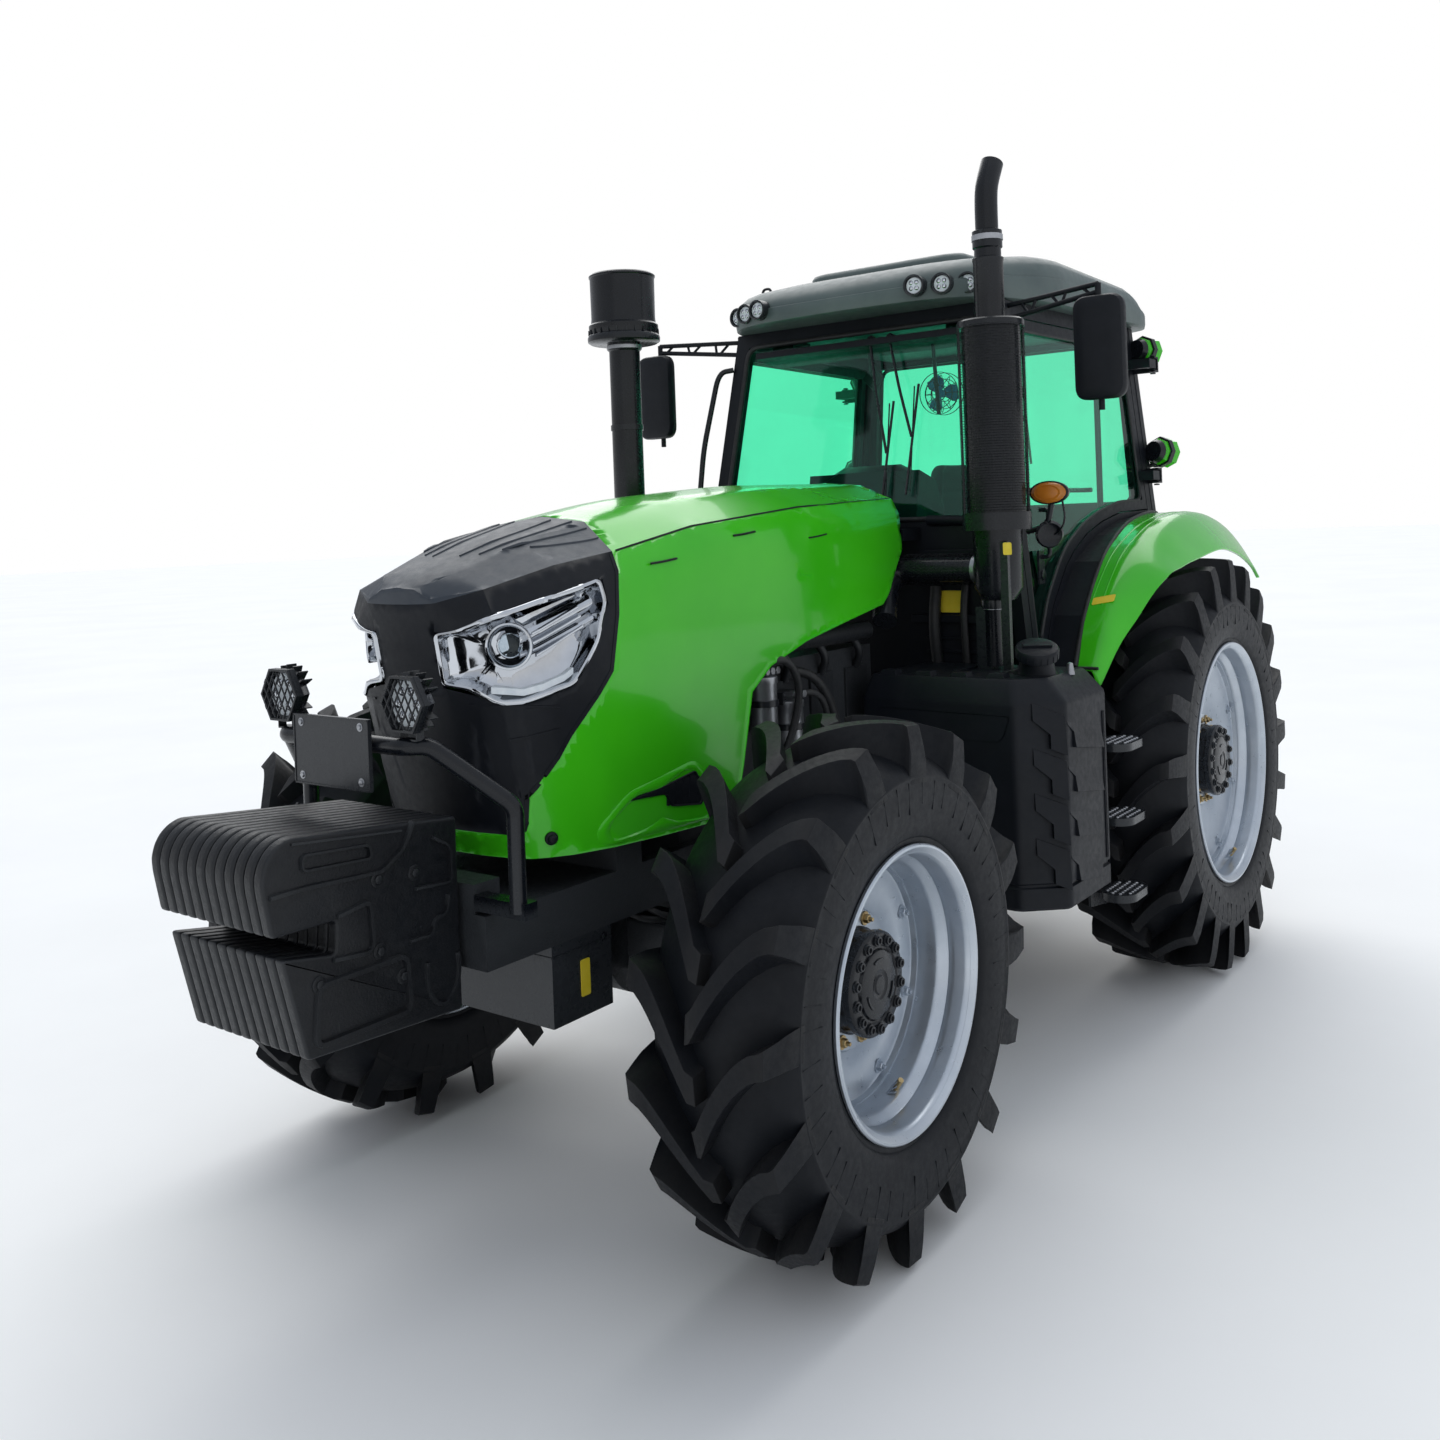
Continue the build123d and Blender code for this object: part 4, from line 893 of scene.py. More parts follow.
# Ribs along the cap, tapered towards its rear corners.
ribs = Piece("cap_ribs", CAP)
for out in (1.0, -1.0):
    for inner, outer_y, front, rear in ((0.055, 0.075, 3.36, 3.02), (0.11, 0.15, 3.34, 3.01),
                                        (0.16, 0.215, 3.3, 3.02), (0.205, 0.268, 3.24, 3.03)):
        skin_strip(ribs, between([(front, out * inner), (rear, out * outer_y)], 10),
                   lambda t: 0.026 * (1.0 - abs(2.0 * t - 1.0) ** 3) + 0.004, -0.003, 0.004)
ribs.done("hood", 0.0015, 30.0)

# Vent in the hood's lower corner: raised surround, dark opening and its louvres.
VENT = [(3.055, 1.208), (2.905, 1.226), (2.765, 1.246), (2.722, 1.184), (2.734, 1.138), (2.882, 1.16),
        (2.905, 1.2)]
SURROUND = [(3.175, 1.15), (3.055, 1.236), (2.76, 1.282), (2.69, 1.215), (2.655, 1.085), (3.16, 1.098)]
LATCH = (3.3, 1.148)
for out, side in SIDES:
    trim = Piece(f"vent_surround_{side}", GREEN)
    edge = outline_points(SURROUND, 0.03, 0.04)
    middle = sum(edge, Vector()) / len(edge)
    trim.loft(skin_rings(edge, ((0.0, -0.002), (0.012, 0.004), (0.03, 0.005), (0.045, -0.002)), lambda p,
                         by: middle + (p - middle) * (1.0 - by / (p - middle).length), out), True, False)
    trim.done("hood", 0.0, 45.0)
    vent = Piece(f"vent_{side}", PLASTIC)
    edge = outline_points(VENT, 0.012, 0.012)
    middle = Vector((2.8, 0, 1.195))
    vent.loft(skin_rings(edge, ((0.0, -0.004), (0.0, 0.003), (0.04, 0.0045), (0.1, 0.0035), (0.12, 0.0005),
                                (0.9, 0.0005), (0.97, 0.0005)), lambda p, share: p + (middle - p) * share, out))
    skin_strip(vent, between([(3.048, 1.2085), (2.898, 1.213)], 10), lambda t: 0.006 + 0.02 * t, -0.002, 0.0038,
               out)
    skin_strip(vent, between([(2.898, 1.196), (2.738, 1.192)], 8), lambda t: 0.058 + 0.032 * t, -0.002, 0.0022,
               out)
    for k in range(9):
        x = 3.02 - 0.032 * k
        top_z = 1.2125 + 0.108 * (3.02 - x)
        low_z = 1.1495 + 0.05 * (3.02 - x) if x < 2.9 else 1.207
        if top_z - low_z > 0.012:
            skin_strip(vent, [(x, low_z + 0.008), (x - 0.006, top_z - 0.004)], 0.006, -0.002, 0.003, out)
    vent.done("hood", 0.0, 45.0)
    knob = Piece(f"hood_latch_{side}", PLASTIC)
    hit, normal = skin_side(*LATCH, out)
    knob.turned([(0.0, -0.01), (0.018, -0.004), (0.018, 0.004), (0.013, 0.007), (0.012, 0.014), (0.008, 0.018),
                 (0, 0.019)], hit, normal, 28)
    knob.done("hood", 0.001)
    slots = Piece(f"hood_slots_{side}", PLASTIC)
    for x, z in ((2.86, 1.865), (2.45, 1.935), (2.02, 1.915)):
        skin_strip(slots, [(x + 0.06, z - 0.004), (x, z), (x - 0.06, z + 0.006)], 0.006, -0.003, 0.001, out)
    slots.done("hood", 0.0, 45.0)

# Moulded lines across the black fascia.
fascia = Piece("fascia_lines", PLASTIC)
for out in (1.0, -1.0):
    for line in ([(3.466, 1.518), (3.289, 1.5)], [(3.409, 1.424), (3.29, 1.44)], [(3.12, 1.83), (3.105, 1.76)]):
        skin_strip(fascia, between(line, 8), 0.007, -0.003, 0.003, out)
fascia.done("hood", 0.0, 40.0)


# ---------------------------------------------------------------- front end
def bent(outline, bend, steps=5):
    """An (x, z) outline with rounded corners, as points on y = 0."""
    return rounded([at(x, 0.0, z) for x, z in outline], bend, True, steps)


WEIGHT_COUNT = 12
WEIGHT_PITCH = 0.038
WEIGHT_HALF = 0.017
WEIGHT_REAR = 3.558
WEIGHT_OUTLINE = [(WEIGHT_REAR, 0.76), (4.02, 0.786), (4.079, 1.03), (3.936, 1.005), (3.931, 1.081),
                  (4.102, 1.083), (4.121, 1.185), (4.123, 1.216), (4.114, 1.247), (4.098, 1.271),
                  (4.076, 1.288), (4.048, 1.298), (WEIGHT_REAR, 1.251)]

# Half a plate's section, as (inset, distance from the plate's middle), then its mirror image.
WEIGHT_EDGE = [(0.008, 0.017), (0.0042, 0.0162), (0.0016, 0.014), (0.0002, 0.0105), (0.0, 0.007)]
WEIGHT_SECTION = [(by, -off) for by, off in WEIGHT_EDGE] + [(by, off) for by, off in reversed(WEIGHT_EDGE)]


def drawn_in(line, by, y):
    """A closed (x, z) line drawn in by a distance, at another y."""
    moved = []
    for k, p in enumerate(line):
        along = (line[(k + 1) % len(line)] - line[k - 1]).normalized()
        moved.append(Vector((p.x - along.z * by, y, p.z + along.x * by)))
    return moved


plates = Piece("weight_plates", CAST)
outline = bent(WEIGHT_OUTLINE, 0.012, 3)
for index in range(WEIGHT_COUNT):
    middle = WEIGHT_PITCH * (index - (WEIGHT_COUNT - 1) / 2.0)
    plates.loft([drawn_in(outline, by, middle + off) for by, off in WEIGHT_SECTION])
plates.done("chassis", 0.0, 50.0, replaces=("front_weights",))

relief = Piece("weight_relief", CAST)
for out in (1.0, -1.0):
    face = out * (WEIGHT_PITCH * (WEIGHT_COUNT - 1) / 2.0 + WEIGHT_HALF)

    def bead(points, width=0.012, height=0.0095, closed=False, bend=0.02):
        """A raised line on the outer plate's face."""
        line = rounded([at(x, face, z) for x, z in points], bend, closed, 4)
        rings = []
        for k, p in enumerate(line):
            ahead = line[(k + 1) % len(line)] if (closed or k + 1 < len(line)) else p
            behind = line[k - 1] if (closed or k) else p
            along = (ahead - behind).normalized()
            side = Vector((0, 1, 0)).cross(along) * width / 2.0
            off = Vector((0, out, 0))
            rings.append([p - side - off * 0.003, p - side * 0.6 + off * height, p + side * 0.6 + off * height,
                          p + side - off * 0.003])
        if closed:
            rings.append(rings[0])
        relief.loft(rings, True, not closed)

    bead([(4.105, 1.176), (4.02, 1.178), (3.8, 1.166), (3.735, 1.206), (3.7, 1.266)], 0.014)
    bead([(4.02, 1.252), (3.835, 1.238), (3.83, 1.205), (4.022, 1.217)], 0.009, closed=True, bend=0.014)
    bead([(3.7, 1.1), (3.585, 1.092), (3.585, 1.18), (3.64, 1.214)], 0.01)
    bead([(3.945, 0.995), (3.845, 0.985), (3.832, 1.0), (3.838, 1.105), (3.93, 1.092)], 0.014)
    bead([(3.722, 0.978), (3.652, 0.976), (3.645, 1.012), (3.604, 1.018), (3.598, 1.062)], 0.01)
    bead([(4.0, 0.812), (3.988, 0.946), (3.735, 0.948), (3.728, 0.812)], 0.018, 0.01, True, 0.026)
    bead([(3.735, 1.25), (4.045, 1.282)], 0.008, 0.004)
    ring_points = []
    for k in range(15):
        angle = radians(20.0 - 220.0 * k / 14.0)
        ring_points.append((3.62 + 0.052 * cos(angle), 0.88 + 0.085 * sin(angle)))
    bead(ring_points, 0.014, 0.0065)
    for x, z in ((3.985, 1.002 - 0.052), (3.812, 1.15), (3.812, 0.978), (3.7, 1.14), (3.745, 0.9)):
        relief.turned([(0, -0.004), (0.02, -0.004), (0.019, 0.003), (0.014, 0.004), (0, 0.004)], at(x, face, z),
                      (0, out, 0), 24)
        relief.bolt(at(x, face + out * 0.002, z), (0, out, 0), 0.0095, 0.0065, False)
relief.done("chassis", 0.0012, 40.0)

# Guard hoop fittings: plate screws, lamp brackets, and the black plate's hemmed edge.
hem = Piece("guard_plate_trim", BLACK)
for y in (-0.148, 0.148):
    hem.block(at(3.758, y, 1.429), (0.012, 0.005, 0.178))
for z in (1.342, 1.516):
    hem.block(at(3.758, 0.0, z), (0.012, 0.3, 0.005))
for y in (-0.118, 0.118):
    for z in (1.362, 1.498):
        hem.bolt(at(3.762, y, z), (1, 0, 0), 0.0065, 0.005, True, STEEL)
hem.done("chassis", 0.001)


FIN_RADIUS = 0.062
CAGE_HALF_HEIGHT = 0.07


def caged_lamp(y, name):
    """Hexagonal work lamp with cooling fins, six emitters, lens and a wire cage."""
    centre = at(3.68, y, 1.557)
    axis = Vector((1, 0, 0))
    shell = Piece(name, BLACK)
    shell.turned([(0, 0), (0.056, 0.0), (0.06, 0.004), (0.074, 0.03), (0.079, 0.034), (0.079, 0.05),
                  (0.072, 0.052), (0.068, 0.046), (0.062, 0.034), (0, 0.032)], centre, axis, 6)
    for k in range(7):
        angle = -1.05 + 0.35 * k
        for turn, reach, height in ((angle, FIN_RADIUS * 1.02, 0.03), (angle + pi, FIN_RADIUS, 0.024)):
            spot = centre + Vector((0.014, reach * sin(turn), reach * cos(turn)))
            shell.block(spot, (0.03, 0.004, height), Matrix.Rotation(-angle, 3, "X"))
    shell.block(centre + Vector((0.028, 0, -0.088)), (0.026, 0.06, 0.005))
    for side in (1, -1):
        shell.block(centre + Vector((0.028, side * 0.03, -0.068)), (0.024, 0.004, 0.044))
        shell.bolt(centre + Vector((0.028, side * 0.032, -0.058)), (0, side, 0), 0.007, 0.006)
    # Cage wires: slanted lines, cut off where they leave the hexagon.
    for lean in (1.0, -1.0):
        for k in range(-3, 4):
            start = Vector((0.057, (0.026 * k - 0.04) * lean, -CAGE_HALF_HEIGHT))
            end = Vector((0.057, (0.026 * k + 0.04) * lean, CAGE_HALF_HEIGHT))
            line = [start.lerp(end, i / 14) for i in range(15)]
            within = [centre + p for p in line if max(abs(p.z) * 0.866 + abs(p.y) * 0.5, abs(p.y)) < 0.066]
            if len(within) > 1:
                shell.rod(within[0], within[-1], 0.0024, 8)
    shell.hoop(0.0715, 0.079, 0.051, 0.0585, centre, axis, 6)
    shell.done("chassis", 0.0008)
    lens = Piece(name + "_lens", WHITE)
    lens.turned([(0, 0.04), (0.052, 0.04), (0.06, 0.037), (0.061, 0.033), (0, 0.032)], centre, axis, 32)
    for angle in around(6):
        spot = centre + Vector((0.04, 0.034 * cos(angle), 0.034 * sin(angle)))
        lens.turned([(0, 0.006), (0.006, 0.005), (0.011, 0.001), (0.012, 0.0), (0, -0.001)], spot, axis, 16,
                    CHROME)
    lens.done("chassis", 0.0, 40.0)


for out, side in SIDES:
    caged_lamp(out * 0.247, f"guard_lamp_{side}")

# Front box: lid seam, latch and a bare yellow plate.
box_lo, box_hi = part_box("front_box")
box_trim = Piece("front_box_trim", BLACK)
for out in (1.0, -1.0):
    box_trim.block(Vector(((box_lo.x + box_hi.x) / 2, out * 0.3005, box_hi.z - 0.03)), (0.236, 0.003, 0.004))
box_trim.block(Vector((box_hi.x + 0.0008, 0, box_hi.z - 0.03)), (0.003, 0.6, 0.004))
box_trim.block(Vector((box_lo.x + 0.075, 0.302, box_lo.z + 0.12)), (0.034, 0.005, 0.018))
box_trim.bolt(Vector((box_lo.x + 0.03, 0.3, box_lo.z + 0.195)), (0, 1, 0), 0.008, 0.005)
box_trim.done("chassis", 0.001)

bare = Piece("bare_plates", YELLOW)


def bare_plate(centre, across, up, width, height):
    """A blank yellow plate with rounded corners, two millimetres thick."""
    across, up = Vector(across).normalized(), Vector(up).normalized()
    normal = across.cross(up).normalized()
    corners = quad(width / 2, height / 2)
    line = rounded([Vector(centre) + across * u + up * v for u, v in corners], 0.006, True, 3)
    bare.prism(line, normal * -0.001, normal * 0.001)


bare_plate(Vector((box_lo.x + 0.11, 0.3022, box_hi.z - 0.115)), (-1, 0, 0), (0, 0, 1), 0.036, 0.1)


# ---------------------------------------------------------------- stacks
EXHAUST = (1.396, 0.73)
INTAKE = (1.88, -0.595)


# A perforated sheet's thickness, and the share of a cell that its edges take up on each side.
SHEET_WALL, WIRE_SHARE = 0.0016, 0.2


def perforated(name, centre, axis, radius, length, rows, columns):
    """A rolled sheet with rows of holes, as thin wire-edged cells."""
    axis = Vector(axis).normalized()
    side = axis.cross(UP if abs(axis.z) < 0.9 else Vector((0, -1, 0))).normalized()
    other = axis.cross(side)
    bm = bmesh.new()
    grid = []
    for i in range(rows + 1):
        line = []
        for k in range(columns + 1):
            angle = 2 * pi * (k + 0.5 * (i % 2)) / columns
            spot = centre + axis * (length * i / rows) + side * (radius * cos(angle))
            line.append(bm.verts.new(spot + other * (radius * sin(angle))))
        grid.append(line)
    cells = []
    for i in range(rows):
        for k in range(columns):
            cells.append(bm.faces.new((grid[i][k], grid[i][k + 1], grid[i + 1][k + 1], grid[i + 1][k])))
    width = min(length / rows, 2 * pi * radius / columns)
    bmesh.ops.inset_individual(bm, faces=cells, thickness=width * WIRE_SHARE)
    bmesh.ops.delete(bm, geom=[f for f in cells if f.is_valid], context="FACES_ONLY")
    obj = add_mesh(name, bm, BLACK)
    wall = obj.modifiers.new("wall", "SOLIDIFY")
    wall.thickness = SHEET_WALL
    wall.offset = -1.0
    finish(obj, "chassis")


def exhaust():
    """Silencer casing, perforated guard with rails and bands, bent tail pipe, and the duct from the hood."""
    x, y = EXHAUST
    foot = at(x, y, 0)
    duct_x, duct_z = x - 0.014, 1.77
    stack = Piece("exhaust_body", BLACK)
    stack.turned([(0, 1.66), (0.06, 1.66), (0.088, 1.705), (0.088, 1.905), (0.09, 1.915), (0.09, 1.925),
                  (0, 1.925)], foot, UP, 48)
    stack.turned([(0, 1.42), (0.034, 1.42), (0.034, 1.62), (0.04, 1.63), (0.04, 1.66), (0, 1.66)],
                 at(x, y - 0.03, 0), UP, 32)
    stack.drum(0.105, 1.92, 2.66, foot, UP, 48)
    stack.hoop(0.116, 0.1225, 1.912, 1.975, foot, UP, 56)
    stack.turned([(0, 2.672), (0.062, 2.672), (0.114, 2.668), (0.1205, 2.662), (0.1205, 2.64), (0.112, 2.64),
                  (0, 2.64)], foot, UP, 56)
    stack.turned([(0, 2.66), (0.054, 2.66), (0.054, 2.88), (0.056, 2.884), (0.056, 2.892), (0.048, 2.896),
                  (0.048, 2.925), (0.0535, 2.93), (0.0535, 2.99), (0.046, 2.994), (0, 2.994)], foot, UP, 40)
    stack.hoop(0.044, 0.056, 2.955, 2.975, foot, UP, 40, STEEL)
    for angle in (-0.9, 2.3):
        out = Vector((cos(angle), sin(angle), 0))
        stack.block(at(x, y, 2.31) + out * 0.118, (0.007, 0.018, 0.7), Matrix.Rotation(angle, 3, "Z"))
        for k in range(8):
            stack.bolt(at(x, y, 1.99 + 0.09 * k) + out * 0.119, out, 0.0035, 0.0025, False)
    tail = [at(x, y, 2.985), at(x, y, 3.1), at(x - 0.006, y + 0.002, 3.16), at(x - 0.046, y + 0.008, 3.244)]
    path = rounded(tail, 0.08, False, 8)
    rings, inner = [], []
    for k, p in enumerate(path):
        along = (path[min(k + 1, len(path) - 1)] - path[max(k - 1, 0)]).normalized()
        side = along.cross(Vector((0, 1, 0))).normalized()
        other = along.cross(side)
        rings.append(circle(p, side, other, 0.041, 32))
        inner.append(circle(p, side, other, 0.037, 32))
    stack.loft([*rings, *reversed(inner[2:])], True, False)
    stack.tube([at(1.56, 0.345, 1.59), at(1.47, 0.3, 1.69), at(duct_x, 0.3, duct_z), at(duct_x, 0.7, duct_z)],
               0.046, 24, 0.08)
    stack.tube([at(duct_x, 0.205, duct_z), at(duct_x, 0.33, duct_z)], 0.049, 24, 0.0)
    stack.hoop(0.046, 0.054, -0.008, 0.008, at(duct_x, 0.64, duct_z), (0, 1, 0), 32, STEEL)
    stack.block(at(x + 0.066, y + 0.055, 1.64), (0.022, 0.03, 0.46))
    stack.block(at(x, y - 0.055, 1.52), (0.06, 0.055, 0.23))
    stack.hoop(0.032, 0.038, 1.625, 1.64, at(x, y - 0.03, 0), UP, 32, STEEL)
    stack.done("chassis", 0.0015, 36.0, replaces=("exhaust_stack",))
    perforated("exhaust_guard", at(x, y, 1.965), UP, 0.1205, 0.68, 72, 76)
    perforated("duct_guard", at(duct_x, 0.345, duct_z + 0.002), (0, 1, 0), 0.058, 0.27, 26, 34)


exhaust()
bare_plate(at(EXHAUST[0] + 0.0795, EXHAUST[1] + 0.072, 1.845), (-0.3, 1, 0), (0, 0, 1), 0.03, 0.044)
bare_plate(at(1.2255, 0.455, 1.64), (0, 1, 0), (0, 0, 1), 0.1, 0.084)


def intake():
    """Pre-cleaner bowl with its cap, vanes and clamp, on the pipe beside the hood."""
    x, y = INTAKE
    foot = at(x, y, 0)
    stack = Piece("intake_stack", BLACK)
    stack.turned([(0, 1.48), (0.058, 1.48), (0.058, 1.8), (0.06, 1.81), (0.06, 2.66), (0.066, 2.665),
                  (0.066, 2.695), (0.058, 2.7), (0, 2.7)], foot, UP, 44)
    stack.hoop(0.058, 0.069, 2.668, 2.682, foot, UP, 44, STEEL)
    stack.turned([(0, 2.69), (0.13, 2.69), (0.141, 2.697), (0.142, 2.712), (0.138, 2.722), (0.132, 2.726),
                  (0.136, 2.745), (0.136, 2.76), (0.127, 2.768), (0.125, 2.79), (0.1265, 2.945), (0.13, 2.948),
                  (0.13, 2.954), (0.124, 2.96), (0.1, 2.964), (0.0, 2.965)], foot, UP, 64)
    for angle in around(24):
        spot = at(x, y, 2.733) + Vector((cos(angle), sin(angle), 0)) * 0.134
        stack.block(spot, (0.01, 0.004, 0.02), Matrix.Rotation(angle, 3, "Z"))
    stack.block(at(x, y + 0.165, 1.45), (0.11, 0.34, 0.1))
    stack.tube([at(x, y, 1.5), at(x, y, 1.45), at(x, y + 0.12, 1.45)], 0.052, 20, 0.04)
    for z in (1.95, 2.35):
        stack.hoop(0.059, 0.064, z, z + 0.022, foot, UP, 40)
    stack.done("chassis", 0.0015, 36.0, replaces=("air_intake",))


intake()


# ---------------------------------------------------------------- roof, lamps and mirrors
# The cab's side wall is half this wide at its base over the rear axle, and draws in forwards and upwards.
CAB_BASE = 1.93
WALL_HALF, WALL_TAPER, WALL_LEAN = 0.767, 0.05, 0.1
SCREEN_FOOT, SCREEN_RAKE = 1.208, 0.165
REAR_PANE = -0.2

ROOF_LAMPS = [(1.245, 0.365), (1.2, 0.46), (1.14, 0.54)]
work = Piece("roof_lamps", BLACK)
work_lens = Piece("roof_lamp_lenses", WHITE)
for out in (1.0, -1.0):
    for x, y in ROOF_LAMPS:
        centre = at(x + 0.012, out * y, 2.86)
        axis = Vector((1, out * 0.1, 0)).normalized()
        work.turned([(0, -0.06), (0.038, -0.06), (0.0415, -0.01), (0.0415, 0.036), (0.036, 0.038),
                     (0.034, 0.03), (0.03, 0.012), (0, 0.01)], centre, axis, 36)
        work_lens.turned([(0, 0.03), (0.02, 0.029), (0.031, 0.026), (0.033, 0.018), (0, 0.016)], centre, axis,
                         36)
        for angle in around(4, 0.5):
            up = axis.cross(UP).normalized() * (0.015 * cos(angle)) + UP * (0.015 * sin(angle))
            work_lens.turned([(0, 0.006), (0.008, 0.003), (0.01, 0.0), (0, -0.001)], centre + axis * 0.028 + up,
                             axis, 14, CHROME)
work.done("chassis", 0.0, 40.0, replaces=("work_lamps",))
work_lens.done("chassis", 0.0, 40.0)

ROOF_PLAN = [(1.178, -0.588), (1.268, -0.368), (1.298, 0.0), (1.268, 0.368), (1.178, 0.588), (0.8, 0.718),
             (-0.28, 0.748), (-0.378, 0.65), (-0.378, -0.65), (-0.28, -0.748), (0.8, -0.718), (1.178, -0.588)]
ROOF_BASE = 2.802
ROOF_CROWN = [(-0.378, 2.885), (-0.25, 2.955), (-0.1, 3.006), (0.1, 3.036), (0.3, 3.047), (0.55, 3.043),
              (0.8, 3.028), (1.05, 2.995), (1.2, 2.962), (1.298, 2.925)]


def cab_roof():
    """Moulded roof: rounded brim, arched crown, raised hatch and its gutter lines."""
    shell = Piece("cab_roof_shell", ROOF)
    line = rounded([at(x, y, 0.0) for x, y in ROOF_PLAN[:-1]], 0.16, True, 8)
    middle = at(0.43, 0.0, 0.0)
    rings = []
    for share, rise in ((0.06, -0.004), (0.02, 0.0), (0.004, 0.03), (0.0, 0.16), (0.0, 0.42), (0.003, 0.46),
                        (0.012, 0.47), (0.016, 0.56), (0.03, 0.7), (0.065, 0.82), (0.13, 0.9), (0.25, 0.955),
                        (0.45, 0.985), (0.7, 1.0), (0.97, 1.0)):
        ring = []
        for p in line:
            spot = middle + (p - middle) * (1.0 - share)
            crown = value_along(ROOF_CROWN, spot.x - AXLE_X)
            ring.append(Vector((spot.x, spot.y, ROOF_BASE + (crown - ROOF_BASE) * rise)))
        rings.append(ring)
    shell.loft(rings)
    hatch = rounded([at(x, y, 0.0) for x, y in ((-0.02, -0.38), (0.92, -0.36), (0.92, 0.36), (-0.02, 0.38))],
                    0.1, True, 6)
    rings = []
    for share, lift in ((0.0, -0.03), (0.0, 0.012), (0.02, 0.026), (0.06, 0.032), (0.95, 0.034)):
        ring = []
        for p in hatch:
            spot = middle + (p - middle) * (1.0 - share)
            ring.append(Vector((spot.x, spot.y, value_along(ROOF_CROWN, spot.x - AXLE_X) + lift)))
        rings.append(ring)
    shell.loft(rings)
    for out in (1.0, -1.0):
        for y in (0.46, 0.56):
            shell.tube([at(x, out * y, value_along(ROOF_CROWN, x) - 0.018 * (y / 0.46) ** 6)
                        for x in (0.95, 0.7, 0.4, 0.1, -0.15)], 0.006, 8, 0.1)
    for y in (-0.52, 0.52):
        shell.tube([at(0.985, y - 0.022, 2.945), at(0.985, y - 0.022, 3.005), at(0.985, y + 0.022, 3.005),
                    at(0.985, y + 0.022, 2.945)], 0.006, 10, 0.02, BLACK)
    for y in (-0.3, 0.3):
        shell.block(at(-0.374, y, 2.845), (0.014, 0.18, 0.05), surface=PLASTIC)
    shell.done("chassis", 0.0, 38.0, replaces=("cab_roof",))


cab_roof()


def mirror_head(out, side):
    """Rounded mirror shell with its glass, on a truss of two arms."""
    x, y = 1.15, 1.04
    shell = Piece(f"mirror_{side}", PLASTIC)

    def outline_ring(offset, inset_by):
        """The shell's outline drawn in, at an offset along x."""
        corners = quad(0.094 - inset_by, 0.189 - inset_by)
        return rounded([at(x + offset, out * y + u, 2.56 + v) for u, v in corners], 0.05, True)

    shell.loft([outline_ring(offset, by) for offset, by in ((0.03, 0.05), (0.028, 0.022), (0.02, 0.006),
                                                            (0.006, 0.0), (-0.022, 0.001), (-0.03, 0.005),
                                                            (-0.028, 0.011), (-0.018, 0.013))])
    shell.loft([outline_ring(-0.017, 0.013), outline_ring(-0.0225, 0.014)], surface=MIRROR)
    post_x, post_y = x - 0.03, out * (y - 0.01)
    shell.rod(at(post_x, post_y, 2.335), at(post_x, post_y, 2.798), 0.011, 16)
    for z in (2.43, 2.69):
        shell.hoop(0.011, 0.022, z, z + 0.03, at(post_x, post_y, 0), UP, 20)
    root_y = out * (WALL_HALF - WALL_TAPER * 1.03 - 0.081 - 0.004)
    upper = at(1.02, root_y, 2.777), at(post_x, post_y, 2.795)
    lower = at(1.045, root_y, 2.72), at(post_x, post_y, 2.765)
    for arm in (upper, lower):
        shell.tube(arm, 0.01, 12, 0.0)
    for k in range(1, 6):
        t = k / 6.0
        low = lower[0].lerp(lower[1], min(1.0, t + (0.09 if k % 2 else -0.04)))
        shell.rod(upper[0].lerp(upper[1], t), low, 0.006, 8)
    shell.block(at(1.028, root_y - out * 0.004, 2.742), (0.06, 0.018, 0.11))
    for z in (2.705, 2.78):
        shell.bolt(at(1.028, root_y + out * 0.004, z), (0, out, 0), 0.007, 0.006)
    shell.done("chassis", 0.001, 36.0, replaces=("mirrors",))


for out, side in SIDES:
    mirror_head(out, side)


# ---------------------------------------------------------------- cab outside
def side_wall(x, z, out=1.0, proud=0.0):
    """A point on the cab's side wall."""
    return at(x, out * (WALL_HALF - WALL_TAPER * x - WALL_LEAN * (z - CAB_BASE) + proud), z)


def screen(y, z, proud=0.0):
    """A point on the windscreen's plane."""
    return at(SCREEN_FOOT - SCREEN_RAKE * (z - CAB_BASE) + proud, y, z)


